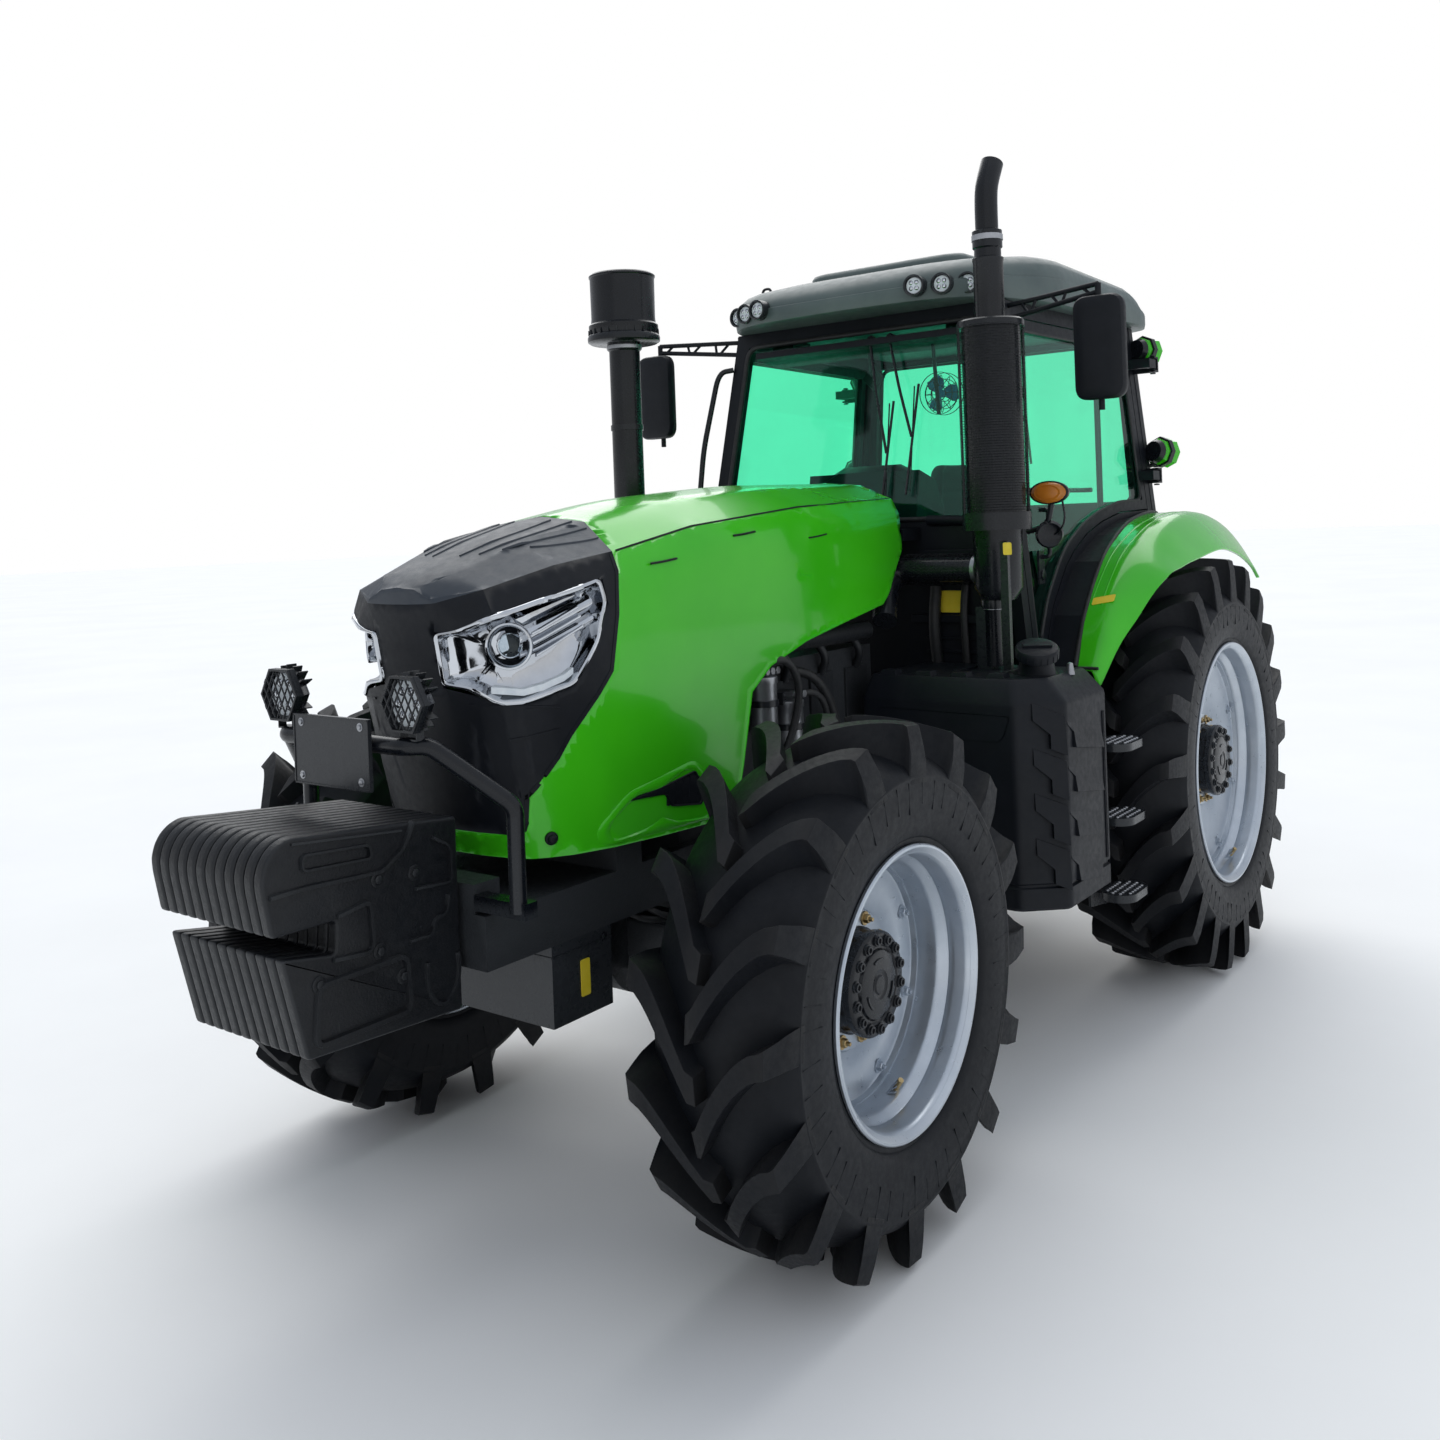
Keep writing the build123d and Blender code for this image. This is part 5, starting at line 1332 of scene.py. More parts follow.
DOOR_EDGE = [(1.13, 1.372), (1.108, 1.945), (0.985, 2.69), (-0.055, 2.69), (-0.055, 2.012), (0.2, 2.004),
             (0.42, 1.966), (0.58, 1.92), (0.745, 1.846), (0.83, 1.79), (0.99, 1.64), (1.09, 1.492)]
for out, side in SIDES:
    door = f"door_{side}"
    seal = Piece(f"door_seal_{side}", HOSE)
    seal.tube([side_wall(x, z, out, -0.006) for x, z in DOOR_EDGE], 0.0075, 8, 0.05, closed=True)
    seal.done(door, 0.0, 60.0)
    grip = Piece(f"door_handle_{side}", BLACK)
    grip.tube([side_wall(1.02, 1.8, out, 0.004), side_wall(1.02, 1.8, out, 0.04),
               side_wall(0.985, 1.98, out, 0.04), side_wall(0.985, 1.98, out, 0.004)], 0.009, 12, 0.02)
    grip.turned([(0, 0), (0.02, 0), (0.019, 0.008), (0.01, 0.01), (0, 0.01)], side_wall(1.02, 1.73, out, 0.0),
                (0, out, 0), 24)
    grip.block(side_wall(1.02, 1.76, out, -0.002), (0.05, 0.01, 0.13))
    grip.tube([side_wall(0.9, 2.06, out, -0.05), side_wall(0.9, 2.06, out, -0.085),
               side_wall(0.35, 2.06, out, -0.085), side_wall(0.35, 2.06, out, -0.05)], 0.01, 12, 0.03)
    grip.done(door, 0.001)
    hinge = Piece(f"hinge_caps_{side}", BLACK)
    for z in (2.12, 2.62):
        for low in (-0.044, 0.036):
            hinge.turned([(0, 0), (0.012, 0), (0.012, 0.006), (0, 0.008)], at(-0.13, out * 0.805, z + low), UP,
                         16)
    hinge.done("chassis", 0.001)

rails = Piece("cab_rails", BLACK)
# Grab rail on the right front pillar, and the shorter one on the left.
rails.tube([screen(-0.7, 1.985, 0.004), screen(-0.745, 1.99, 0.055), screen(-0.735, 2.3, 0.06),
            screen(-0.69, 2.64, 0.045), screen(-0.64, 2.65, 0.004)], 0.012, 14, 0.07)
rails.tube([screen(0.665, 2.02, 0.004), screen(0.69, 2.03, 0.045), screen(0.66, 2.42, 0.045),
            screen(0.625, 2.43, 0.004)], 0.011, 14, 0.05)
rails.done("chassis", 0.0, 60.0)

seal = Piece("screen_seal", HOSE)
seal.tube([screen(y, z, -0.002) for y, z in ((-0.64, 1.96), (0.64, 1.96), (0.565, 2.74), (-0.565, 2.74))],
          0.011, 10, 0.06, closed=True)
seal.tube([at(REAR_PANE + 0.004, y, z) for y, z in ((-0.67, 2.0), (0.67, 2.0), (0.62, 2.74), (-0.62, 2.74))],
          0.01, 10, 0.06, closed=True)
seal.done("chassis", 0.0, 60.0)

wipers = Piece("wipers", BLACK)
for y_root, y_tip, z_tip in ((0.15, 0.27, 2.29), (0.06, 0.16, 2.23)):
    root, tip = screen(y_root, 2.7, 0.018), screen(y_tip, z_tip, 0.016)
    wipers.turned([(0, 0), (0.02, 0), (0.018, 0.02), (0, 0.024)], screen(y_root, 2.7, -0.004), (1, 0, 0.165),
                  20)
    wipers.tube([root, root.lerp(tip, 0.5) + Vector((0.012, 0, 0)), tip], 0.006, 10, 0.05)
    start = screen(y_tip + 0.018, z_tip + 0.21, 0.008)
    end = screen(y_tip - 0.018, z_tip - 0.23, 0.008)
    wipers.tube([start, end], 0.0055, 8, 0.0)
    wipers.block(start.lerp(end, 0.5), (0.006, 0.004, 0.43), Matrix.Rotation(radians(-9.0), 3, "Y"))
root, tip = at(REAR_PANE - 0.006, 0.0, 2.735), at(REAR_PANE - 0.01, 0.16, 2.4)
wipers.tube([root, tip], 0.006, 10, 0.0)
wipers.tube([tip + Vector((0, -0.015, 0.19)), tip + Vector((0, 0.015, -0.19))], 0.006, 8, 0.0)
wipers.done("chassis", 0.0008)

# Amber side marker on its stalk, the round button lamp below it, and the rear pillar's work lamps.
markers = Piece("side_markers", BLACK)
amber = Piece("amber_lenses", AMBER)
for out in (1.0, -1.0):
    centre = at(1.255, out * 0.872, 2.04)
    axis = Vector((1, 0, 0))
    oval = [centre + Vector((0, 0.075 * cos(a), 0.043 * sin(a))) for a in around(36)]

    def ringed(scale, depth):
        """The oval at a scale, moved along the lamp's axis."""
        return [centre + (p - centre) * scale + axis * depth for p in oval]

    for piece, rings in ((markers, ((0.5, -0.026), (0.9, -0.02), (1.0, -0.008), (1.0, 0.004), (0.92, 0.006))),
                         (amber, ((0.9, 0.002), (0.86, 0.012), (0.66, 0.02), (0.6, 0.019))),
                         (amber, ((0.58, 0.014), (0.54, 0.0205), (0.3, 0.023)))):
        piece.loft([ringed(scale, depth) for scale, depth in rings])
    markers.tube([at(1.235, out * 0.872, 2.0), at(1.225, out * 0.85, 1.92), at(1.2, out * 0.76, 1.9)], 0.011,
                 12, 0.04)
    markers.tube([at(1.24, out * 0.915, 2.01), at(1.236, out * 0.925, 1.93), at(1.215, out * 0.87, 1.88),
                  at(1.2, out * 0.8, 1.885)], 0.004, 8, 0.05)
    markers.turned([(0, -0.012), (0.04, -0.01), (0.052, 0.01), (0.044, 0.024), (0.03, 0.016), (0, 0.014)],
                   at(1.215, out * 0.85, 1.89), Vector((1, out * 0.6, -0.2)), 28)
    for x, y, z in ((-0.235, 0.81, 2.225), (-0.23, 0.748, 2.69)):
        spot = at(x, out * y, z)
        aim = Vector((-1.0, out * 0.35, -0.1)).normalized()
        markers.turned([(0, -0.058), (0.05, -0.058), (0.06, -0.048), (0.068, 0.024), (0.06, 0.03), (0, 0.022)],
                       spot, aim, 8, GREEN)
        markers.turned([(0, -0.086), (0.044, -0.082), (0.054, -0.058), (0, -0.056)], spot, aim, 20)
        markers.turned([(0.04, -0.04), (0.071, -0.036), (0.071, -0.012), (0.04, -0.01)], spot, aim, 8,
                       closed=True)
        markers.turned([(0, 0.036), (0.044, 0.034), (0.054, 0.028), (0, 0.02)], spot, aim, 24, WHITE)
        markers.tube([spot - aim * 0.03, at(-0.215, out * (y - 0.04), z - 0.055),
                      at(-0.19, out * (y - 0.075), z - 0.06)], 0.01, 10, 0.03)
markers.done("chassis", 0.001)
amber.done("chassis", 0.0, 40.0)

# Cowl details: grille slats beside the hood's rear, filter box and pipes seen below the duct.
cowl = Piece("cowl_trim", PLASTIC)
for k in range(6):
    cowl.block(at(1.2275, 0.47, 1.5 - 0.052 * k), (0.008, 0.26, 0.012))
cowl.block(at(1.25, 0.47, 1.78), (0.05, 0.24, 0.12))
cowl.block(at(1.24, 0.455, 1.575), (0.03, 0.33, 0.03))
cowl.tube([at(1.25, 0.4, 1.36), at(1.28, 0.4, 1.55), at(1.25, 0.4, 1.7)], 0.022, 14, 0.08, HOSE)
cowl.tube([at(1.25, 0.52, 1.36), at(1.27, 0.52, 1.6), at(1.24, 0.52, 1.72)], 0.014, 12, 0.08, HOSE)
for out in (1.0, -1.0):
    cowl.tube([at(1.222, out * 0.36, 1.955), at(1.235, out * 0.52, 1.952), at(1.228, out * 0.64, 1.935)], 0.02,
              14, 0.08)
cowl.done("chassis", 0.002)

# ---------------------------------------------------------------- inside the cab
inside = Piece("cab_fittings", PLASTIC)
inside.block(at(1.03, 0.0, 2.68), (0.18, 1.0, 0.028), Matrix.Rotation(radians(-8.0), 3, "Y"))
inside.block(at(0.4, 0.0, 2.78), (1.1, 1.06, 0.024))
for y in (-0.42, 0.42):
    inside.block(at(0.955, y, 2.735), (0.14, 0.11, 0.04))
hood_line = [(-0.23, 2.092), (-0.205, 2.15), (-0.12, 2.192), (0.12, 2.192), (0.205, 2.15), (0.23, 2.092)]
inside.loft([[at(x, y * s, z + lift) for y, z in hood_line] + [at(x, 0.22 * s, 2.06), at(x, -0.22 * s, 2.06)]
             for x, s, lift in ((1.1, 0.96, -0.03), (1.04, 1.0, -0.004), (0.985, 1.0, 0.0),
                                (0.96, 0.97, -0.006))])
for y, radius in ((-0.105, 0.052), (0.105, 0.052), (0.0, 0.034)):
    dial = at(0.948, y, 2.112), (-1, 0, 0.35), 32
    inside.turned([(0, 0.0), (radius, 0.0), (radius + 0.006, 0.004), (radius + 0.006, 0.01), (radius, 0.01),
                   (radius - 0.002, 0.004), (0, 0.004)], *dial)
    inside.turned([(0, 0.0045), (radius - 0.004, 0.0045)], *dial, WHITE)
inside.tube([at(0.42, -0.47, 1.19), at(0.42, -0.47, 1.66), at(0.1, -0.47, 1.7)], 0.04, 14, 0.1)
inside.block(at(0.3, -0.465, 1.7), (0.42, 0.15, 0.11))
for x in (0.36, 0.415, 0.46):
    inside.tube([at(x, -0.465, 1.75), at(x + 0.02, -0.465, 1.87)], 0.006, 8, 0.0)
    inside.turned([(0, 0), (0.014, 0.006), (0.018, 0.022), (0.012, 0.038), (0, 0.042)],
                  at(x + 0.02, -0.465, 1.86), UP, 16)
for y in (0.12, -0.06, -0.15):
    inside.tube([at(0.96, y, 1.5), at(0.88, y, 1.34)], 0.01, 10, 0.0)
    inside.block(at(0.875, y, 1.345), (0.016, 0.075, 0.09), Matrix.Rotation(radians(25.0), 3, "Y"))
inside.tube([at(-0.12, 0.545, 1.95), at(-0.12, 0.545, 2.55)], 0.014, 12, 0.0)
inside.turned([(0, 0), (0.052, 0.004), (0.056, 0.012), (0, 0.02)], at(0.985, 0.0, 2.56), (-1, 0, 0), 4)
inside.tube([at(1.01, 0.0, 2.7), at(0.99, 0.0, 2.565)], 0.007, 10, 0.0)
inside.done("chassis", 0.004, 40.0)

blower = Piece("cab_fan", PLASTIC)
hub_place = at(0.95, 0.3, 2.47)
for radius in (0.03, 0.06, 0.085):
    for low, high in ((-0.026, -0.022), (0.024, 0.028)):
        blower.hoop(radius, radius + 0.0022, low, high, hub_place, (1, 0, 0), 32)
for angle in around(12):
    out = Vector((0, cos(angle), sin(angle)))
    blower.tube([hub_place + Vector((-0.026, 0, 0)) + out * 0.028, hub_place + out * 0.086,
                 hub_place + Vector((0.026, 0, 0)) + out * 0.028], 0.0014, 6, 0.02)
for angle in around(3):
    blade = []
    radial = Vector((0, cos(angle), sin(angle)))
    tangent = Vector((0, -sin(angle), cos(angle)))
    for r, twist, half in ((0.016, 0.012, 0.016), (0.045, 0.01, 0.034), (0.074, 0.006, 0.028)):
        lead, trail = hub_place + radial * r + tangent * half, hub_place + radial * r - tangent * half
        blade.append([lead + Vector((twist, 0, 0)), trail - Vector((twist, 0, 0)),
                      trail - Vector((twist - 0.0015, 0, 0)), lead + Vector((twist + 0.0015, 0, 0))])
    blower.loft(blade, surface=BLUE)
blower.turned([(0, -0.018), (0.016, -0.014), (0.018, 0.01), (0, 0.014)], hub_place, (1, 0, 0), 24, BLUE)
blower.tube([hub_place + Vector((0.03, 0, -0.085)), at(1.015, 0.3, 2.68)], 0.008, 10, 0.0)
blower.done("chassis", 0.0, 40.0)

# Seat: suspension, padded base and back, armrests.
frame_piece = Piece("seat_frame", PLASTIC)
for k in range(6):
    half = 0.165 if k % 2 else 0.19
    z = 1.22 + 0.055 * k
    frame_piece.loft([[at(0.31 + sx * half * 0.9, sy * half, zz)
                       for sx, sy in ((-1, -1), (1, -1), (1, 1), (-1, 1))] for zz in (z, z + 0.05)])
frame_piece.block(at(0.31, 0.0, 1.2), (0.42, 0.42, 0.04))
frame_piece.block(at(0.32, 0.0, 1.568), (0.43, 0.43, 0.036))
for side in (1, -1):
    frame_piece.tube([at(0.12, side * 0.262, 1.6), at(0.08, side * 0.272, 1.86), at(0.36, side * 0.272, 1.88)],
                     0.014, 12, 0.06)
    frame_piece.block(at(0.27, side * 0.272, 1.893), (0.27, 0.052, 0.032))
frame_piece.done("chassis", 0.008, 40.0)


EDGE_STEPS = 6
CLOTH_FRAMES = 18
# The pads' thickness, how far their middle stands up, and the most that the cloth may swell.
PAD_THICKNESS, PAD_CROWN, PAD_SWELL = 0.085, 0.02, 0.014


def bake(obj):
    """Apply an object's modifiers to its mesh."""
    mesh = bpy.data.meshes.new_from_object(obj.evaluated_get(bpy.context.evaluated_depsgraph_get()))
    obj.modifiers.clear()
    old = obj.data
    obj.data = mesh
    bpy.data.meshes.remove(old)


def cushion(name, corners):
    """A padded pad: a crowned, pinched block, swollen as cloth, then finished with its seams."""
    base = Piece(name, FABRIC)
    a, b, c, d = corners
    middle = (a + b + c + d) / 4
    normal = (b - a).cross(d - a).normalized()
    layers = []
    for low, share in ((-0.5, 0.86), (-0.28, 0.99), (0.0, 1.0), (0.28, 0.99), (0.5, 0.84)):
        ring = []
        for start, end in ((a, b), (b, c), (c, d), (d, a)):
            for k in range(EDGE_STEPS):
                t = k / EDGE_STEPS
                pinch = 1.0 - 0.035 * sin(pi * t)
                p = start.lerp(end, t)
                corner_pull = 0.03 * (abs(2 * t - 1) ** 8)
                spot = middle + (p - middle) * (share * pinch - corner_pull)
                ring.append(spot + normal * (low * PAD_THICKNESS))
        layers.append(ring)
    base.loft(layers)
    obj = base.done("chassis", 0.0, 60.0)
    obj.modifiers.new("shape", "SUBSURF").levels = 1
    remesh = obj.modifiers.new("remesh", "REMESH")
    remesh.mode = "VOXEL"
    remesh.voxel_size = 0.012
    bake(obj)
    start_points = [v.co.copy() for v in obj.data.vertices]
    cloth = obj.modifiers.new("cloth", "CLOTH")
    cloth.settings.use_pressure = True
    cloth.settings.uniform_pressure_force = 4.0
    cloth.settings.effector_weights.gravity = 0.0
    cloth.settings.quality = 4
    for step in range(1, CLOTH_FRAMES + 1):
        bpy.context.scene.frame_set(step)
    bake(obj)
    bpy.context.scene.frame_set(1)
    for vert, start in zip(obj.data.vertices, start_points):
        move = vert.co - start
        if move.length > PAD_SWELL:
            vert.co = start + move * (PAD_SWELL / move.length)
    for vert in obj.data.vertices:
        local = vert.co - middle
        u = local.dot((b - a).normalized()) / (b - a).length
        v = local.dot((d - a).normalized()) / (d - a).length
        height = local.dot(normal)
        if height > 0:
            bolster = 0.012 * max(0.0, (abs(u) - 0.26) / 0.24)
            seam = 0.011 * exp(-((abs(u) - 0.27) / 0.016) ** 2)
            seam += 0.007 * exp(-((abs(v - 0.04) - 0.14) / 0.014) ** 2)
            vert.co += normal * (bolster + PAD_CROWN * (1 - 4 * u * u) * (1 - 4 * v * v) * 0.3 - seam)
    for polygon in obj.data.polygons:
        polygon.use_smooth = True
    obj.modifiers.new("fine", "SUBSURF").levels = 1
    obj.modifiers["fine"].render_levels = 1
    return obj


seat_base = cushion("seat_cushion", [at(x, y, 1.64) for x, y in ((0.125, 0.225), (0.125, -0.225),
                                                                 (0.56, -0.225), (0.56, 0.225))])
cushion("seat_back", [at(0.178, -0.215, 1.725), at(0.178, 0.215, 1.725), at(0.108, 0.205, 2.235),
                      at(0.108, -0.205, 2.235)])
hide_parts("seat")

# ---------------------------------------------------------------- fenders, tank and steps
CROWN = [(1.085, 1.385), (0.96, 1.57), (0.72, 1.768), (0.48, 1.868), (0.254, 1.922), (-0.05, 1.951),
         (-0.195, 1.946)]
FENDER_INNER = [(-0.2, 0.775), (0.1, 0.8), (0.64, 0.85), (1.085, 0.88)]
FENDER_CROWN = [*CROWN[:-1], (-0.33, 1.938), (-0.6, 1.88), (-0.74, 1.79)]
FENDER_LIP = [(1.085, 1.325), (0.935, 1.505), (0.704, 1.691), (0.48, 1.74), (0.254, 1.767), (-0.05, 1.792),
              (-0.3, 1.765), (-0.52, 1.705), (-0.64, 1.64)]
FENDER_WALL = [(-0.74, 0.7), (-0.205, 0.7), *FENDER_INNER]
FENDER_EDGE = [(-0.74, 1.098), (0.7, 1.098), (0.9, 1.048), (1.085, 0.973)]


def curve_through(points, share):
    """A point on a smooth curve through the points; share counts from one point to the next."""
    k = min(int(share), len(points) - 2)
    t = share - k
    p1, p2 = Vector(points[k]), Vector(points[k + 1])
    p0 = Vector(points[k - 1]) if k else p1 * 2 - p2
    p3 = Vector(points[k + 2]) if k + 2 < len(points) else p2 * 2 - p1
    square, cube = p0 * 2 - p1 * 5 + p2 * 4 - p3, p1 * 3 - p0 - p2 * 3 + p3
    return (p1 * 2 + (p2 - p0) * t + square * t * t + cube * t ** 3) / 2


def fenders():
    """Pressed rear fenders: a crowned sheet rolled over at its outer edge, with a return and a raised bead."""
    sheet = Piece("rear_fender_skin", GREEN)
    for out in (1.0, -1.0):
        rings = []
        for step in range(65):
            share = 8.0 * step / 64.0
            crown, lip = curve_through(FENDER_CROWN, share), curve_through(FENDER_LIP, share)
            wall, edge = value_along(FENDER_WALL, crown.x), value_along(FENDER_EDGE, max(crown.x, -0.739))
            shoulder, corner = min(0.94, edge - 0.04), min(0.985, edge - 0.018)
            over = [(wall + (shoulder - wall) * k / 4.0, 0.0) for k in range(4)]
            for k in range(9):
                t = k / 8.0
                over.append(((1 - t) ** 2 * shoulder + 2 * t * (1 - t) * corner + t * t * edge, t * t))
            over += [(edge + 0.003, 1.03), (edge + 0.002, 1.06)]
            drop = lip - crown
            inward = drop.normalized() * 0.011
            ring = [crown + drop * w for _, w in over]
            top = [at(p.x, out * y, p.y) for p, (y, _) in zip(ring, over)]
            under = [at(p.x + inward.x, out * (y - 0.011 * min(1.0, w * 2.0)),
                        p.y + inward.y * (1.0 - 0.9 * min(1.0, w))) for p, (y, w) in zip(ring, over)]
            rings.append([*top, *reversed(under)])
        sheet.loft(rings)
        line = [curve_through(FENDER_CROWN, 1.2 + 6.2 * k / 40.0) for k in range(41)]
        for y in (0.885, 0.925):
            sheet.tube([at(p.x, out * y, p.y - 0.001) for p in line], 0.0035, 8, 0.0)
    sheet.done("chassis", 0.0, 42.0, replaces=("rear_fenders",))


fenders()
fender_trim = Piece("fender_seals", HOSE)
tail = Piece("tail_lamps", RED)
TAIL_AIM = (-1, 0, 0.35)
for out in (1.0, -1.0):
    fender_trim.tube([at(x, out * value_along(FENDER_INNER, x), z + 0.004) for x, z in CROWN], 0.01, 10, 0.12)
    fender_trim.tube([at(1.09, out * y, 1.385) for y in (0.885, 0.97)], 0.006, 8, 0.0)
    spot = at(-0.735, out * 0.86, 1.83)
    for radius, place, lens in ((0.046, spot, RED), (0.038, at(-0.728, out * 0.76, 1.838), AMBER)):
        tail.turned([(0, 0.0), (radius, 0.0), (radius, 0.01), (radius - 0.006, 0.018), (0, 0.02)], place,
                    TAIL_AIM, 32, lens)
    tail.hoop(0.046, 0.053, -0.006, 0.008, spot, TAIL_AIM, 32, PLASTIC)
fender_trim.done("chassis", 0.0, 60.0)
tail.done("chassis", 0.0, 40.0)
bare_plate(at(0.905, 0.93, 1.628), (-0.2, 1, 0.18), (-1, 0, 1.1), 0.085, 0.034)
bare.done("chassis", 0.0, 40.0)


def fuel_tank():
    """Moulded tank: chamfered shoulders, front recess, louvred side, pads on its top and a tilted filler."""
    x0, x1, y0, y1, z0 = 1.235, 1.72, 0.33, 1.05, 0.635
    tank = Piece("fuel_tank_body", PLASTIC)
    levels = ((z0, 0.012), (z0 + 0.01, 0.0), (z0 + 0.075, 0.0), (z0 + 0.08, 0.01), (z0 + 0.088, 0.01),
              (z0 + 0.093, 0.0), (1.318, 0.0), (1.332, 0.003), (1.398, 0.058), (1.408, 0.072))
    rings = []
    for z, inset_by in levels:
        corners = [(x0 + inset_by * 0.3, y0 + inset_by * 0.3), (x1 - inset_by * 0.55, y0 + inset_by * 0.3),
                   (x1 - inset_by * 0.55, y1 - 0.135 - inset_by * 0.3),
                   (x1 - 0.115 - inset_by * 0.3, y1 - inset_by), (x0 + inset_by * 0.3, y1 - inset_by)]
        rings.append(rounded([at(x, y, z) for x, y in corners], 0.018, True, 3))
    tank.loft(rings)
    for k in range(4):
        y = 0.42 + 0.135 * k
        tank.loft([[at(1.655 - 0.006 * k + sx * s, y + sy * s * 1.25, z)
                    for sx, sy in ((-1, -1), (1, -1), (1, 1), (-1, 1))]
                   for z, s in ((1.404, 0.028), (1.424, 0.022))])
    for y in (0.62, 0.8):
        tank.block(at(1.42, y, 1.412), (0.26, 0.022, 0.01))
    front = [(0.39, 1.196), (0.86, 1.196), (0.88, 1.215), (0.905, 1.292), (0.39, 1.3)]
    line = rounded([at(x1, y, z) for y, z in front], 0.014, True, 4)
    rings = []
    middle = sum(line, Vector()) / len(line)
    for share, lift in ((1.0, -0.004), (0.985, 0.0), (0.955, 0.0), (0.94, -0.004)):
        rings.append([middle + Vector((lift, (p - middle).y * (1.0 if share == 1.0 else share),
                                       (p - middle).z * (1.0 - (1.0 - share) * 2.4))) for p in line])
    tank.loft(rings, True, False)
    for k in range(4):
        z = 1.285 - 0.15 * k
        low, high = 0.013, -0.003
        front_x, back_x = 1.596, 1.3 + 0.012 * k
        wedge = [(front_x, z, high), (back_x, z - 0.052, high), (back_x, z - 0.15, low),
                 (front_x - 0.042, z - 0.112, low), (front_x - 0.042, z - 0.06, high + 0.009),
                 (front_x, z - 0.03, high + 0.004)]
        tank.loft([[at(x, y1 - 0.01, zz) for x, zz, _ in wedge],
                   [at(x, y1 + proud, zz) for x, zz, proud in wedge]])
        bevelled = [(0.02, z, 0.004), (0.66, z + 0.046, 0.003), (0.66, z - 0.01, 0.01),
                    (0.34, z - 0.058, 0.017), (0.34, z - 0.106, 0.019), (0.02, z - 0.13, 0.02)]
        tank.loft([[at(1.605 + 0.115 * u + off * 0.76, y1 - 0.135 * u + off * 0.65, zz)
                    for u, zz, off in [(u, zz, -0.006 if sunk else proud) for u, zz, proud in bevelled]]
                   for sunk in (True, False)])
    for x in (1.272, 1.282):
        tank.block(at(x, y1 + 0.001, 1.0), (0.004, 0.006, 0.52))
    foot = at(1.5, 0.905, 1.395)
    tilt = Vector((0.34, 0.2, 1.0)).normalized()
    tank.turned([(0, 0), (0.085, 0.0), (0.066, 0.02), (0.058, 0.06), (0.056, 0.088), (0, 0.088)], foot, tilt,
                40)
    tank.turned([(0, 0.08), (0.068, 0.08), (0.074, 0.084), (0.075, 0.112), (0.07, 0.12), (0.056, 0.124),
                 (0, 0.124)], foot, tilt, 48)
    for angle in around(20):
        side = tilt.cross(Vector((1, 0, 0))).normalized()
        other = tilt.cross(side)
        spot = foot + tilt * 0.098 + side * (0.0745 * cos(angle)) + other * (0.0745 * sin(angle))
        tank.drum(0.0022, -0.012, 0.012, spot, tilt, 6)
    tank.block(foot + tilt * 0.127, (0.1, 0.026, 0.01), tilt.to_track_quat("Z", "Y").to_matrix())
    tank.block(at(1.545, 0.315, 0.94), (0.19, 0.032, 0.08))
    tank.turned([(0, 0), (0.016, 0.0), (0.01, 0.04), (0, 0.044)], at(1.395, 0.985, 1.398), UP, 16, STEEL)
    tank.done("chassis", 0.004, 34.0, replaces=("fuel_tank",))


fuel_tank()

side_lo, side_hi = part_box("side_box")
lid = Piece("battery_box_trim", PLASTIC)
for z in (side_hi.z - 0.11, side_lo.z + 0.09):
    lid.block(Vector(((side_lo.x + side_hi.x) / 2, side_lo.y - 0.001, z)), (0.4, 0.004, 0.008))
for x in (side_lo.x + 0.09, side_hi.x - 0.09):
    lid.block(Vector((x, side_lo.y - 0.003, side_hi.z - 0.13)), (0.03, 0.008, 0.07), surface=STEEL)
for k in range(5):
    lid.block(Vector((side_hi.x + 0.001, -0.62, side_hi.z - 0.22 - 0.045 * k)), (0.004, 0.34, 0.014))
lid.done("chassis", 0.0015)

TREAD_PITCH = 0.0245
treads = Piece("step_treads", STEEL)
for out in (1.0, -1.0):
    for z in (0.568, 0.848, 1.118):
        for row in range(4):
            for column in range(8 if row in (1, 2) else 6):
                x = (0.95 if row in (1, 2) else 0.975) + TREAD_PITCH * column
                y = out * (0.978 + 0.028 * row)
                treads.turned([(0, -0.001), (0.0075, -0.001), (0.006, 0.0035), (0.0038, 0.0035),
                               (0.0036, -0.0005), (0, -0.0005)], at(x, y, z), UP, 8)
treads.done("chassis", 0.0, 40.0)


# ---------------------------------------------------------------- engine bay, axles and hitch
bay = Piece("engine_fittings", CAST)
for out in (1.0, -1.0):
    for k in range(5):
        x = 1.64 + 0.235 * k
        bay.block(at(x, out * 0.257, 1.33), (0.15, 0.016, 0.2))
        bay.tube([at(x, out * 0.262, 1.43), at(x + 0.02, out * 0.3, 1.49), at(x + 0.05, out * 0.262, 1.56)],
                 0.015, 12, 0.05)
    bay.rod(at(1.6, out * 0.285, 1.56), at(2.62, out * 0.285, 1.56), 0.034, 24)
    for k in range(12):
        bay.bolt(at(1.58 + 0.092 * k, out * 0.2552, 1.0), (0, out, 0), 0.009, 0.008)
bay.done("chassis", 0.003)

filters = Piece("hydraulic_filters", STEEL)
for x, z in ((2.33, 1.395), (2.18, 1.3)):
    filters.turned([(0, -0.11), (0.04, -0.11), (0.046, -0.1), (0.046, 0.05), (0.049, 0.055), (0.049, 0.075),
                    (0.03, 0.085), (0, 0.085)], at(x, 0.325, z), UP, 32)
    filters.hoop(0.046, 0.051, -0.02, 0.0, at(x, 0.325, z), UP, 32, BLACK)
    filters.block(at(x, 0.285, z + 0.085), (0.1, 0.1, 0.04), surface=CAST)
    for k in range(3):
        filters.drum(0.013, -0.02, 0.02, at(x - 0.03 + 0.03 * k, 0.35, z + 0.095), (0, 1, 0), 6)
filters.done("chassis", 0.001)

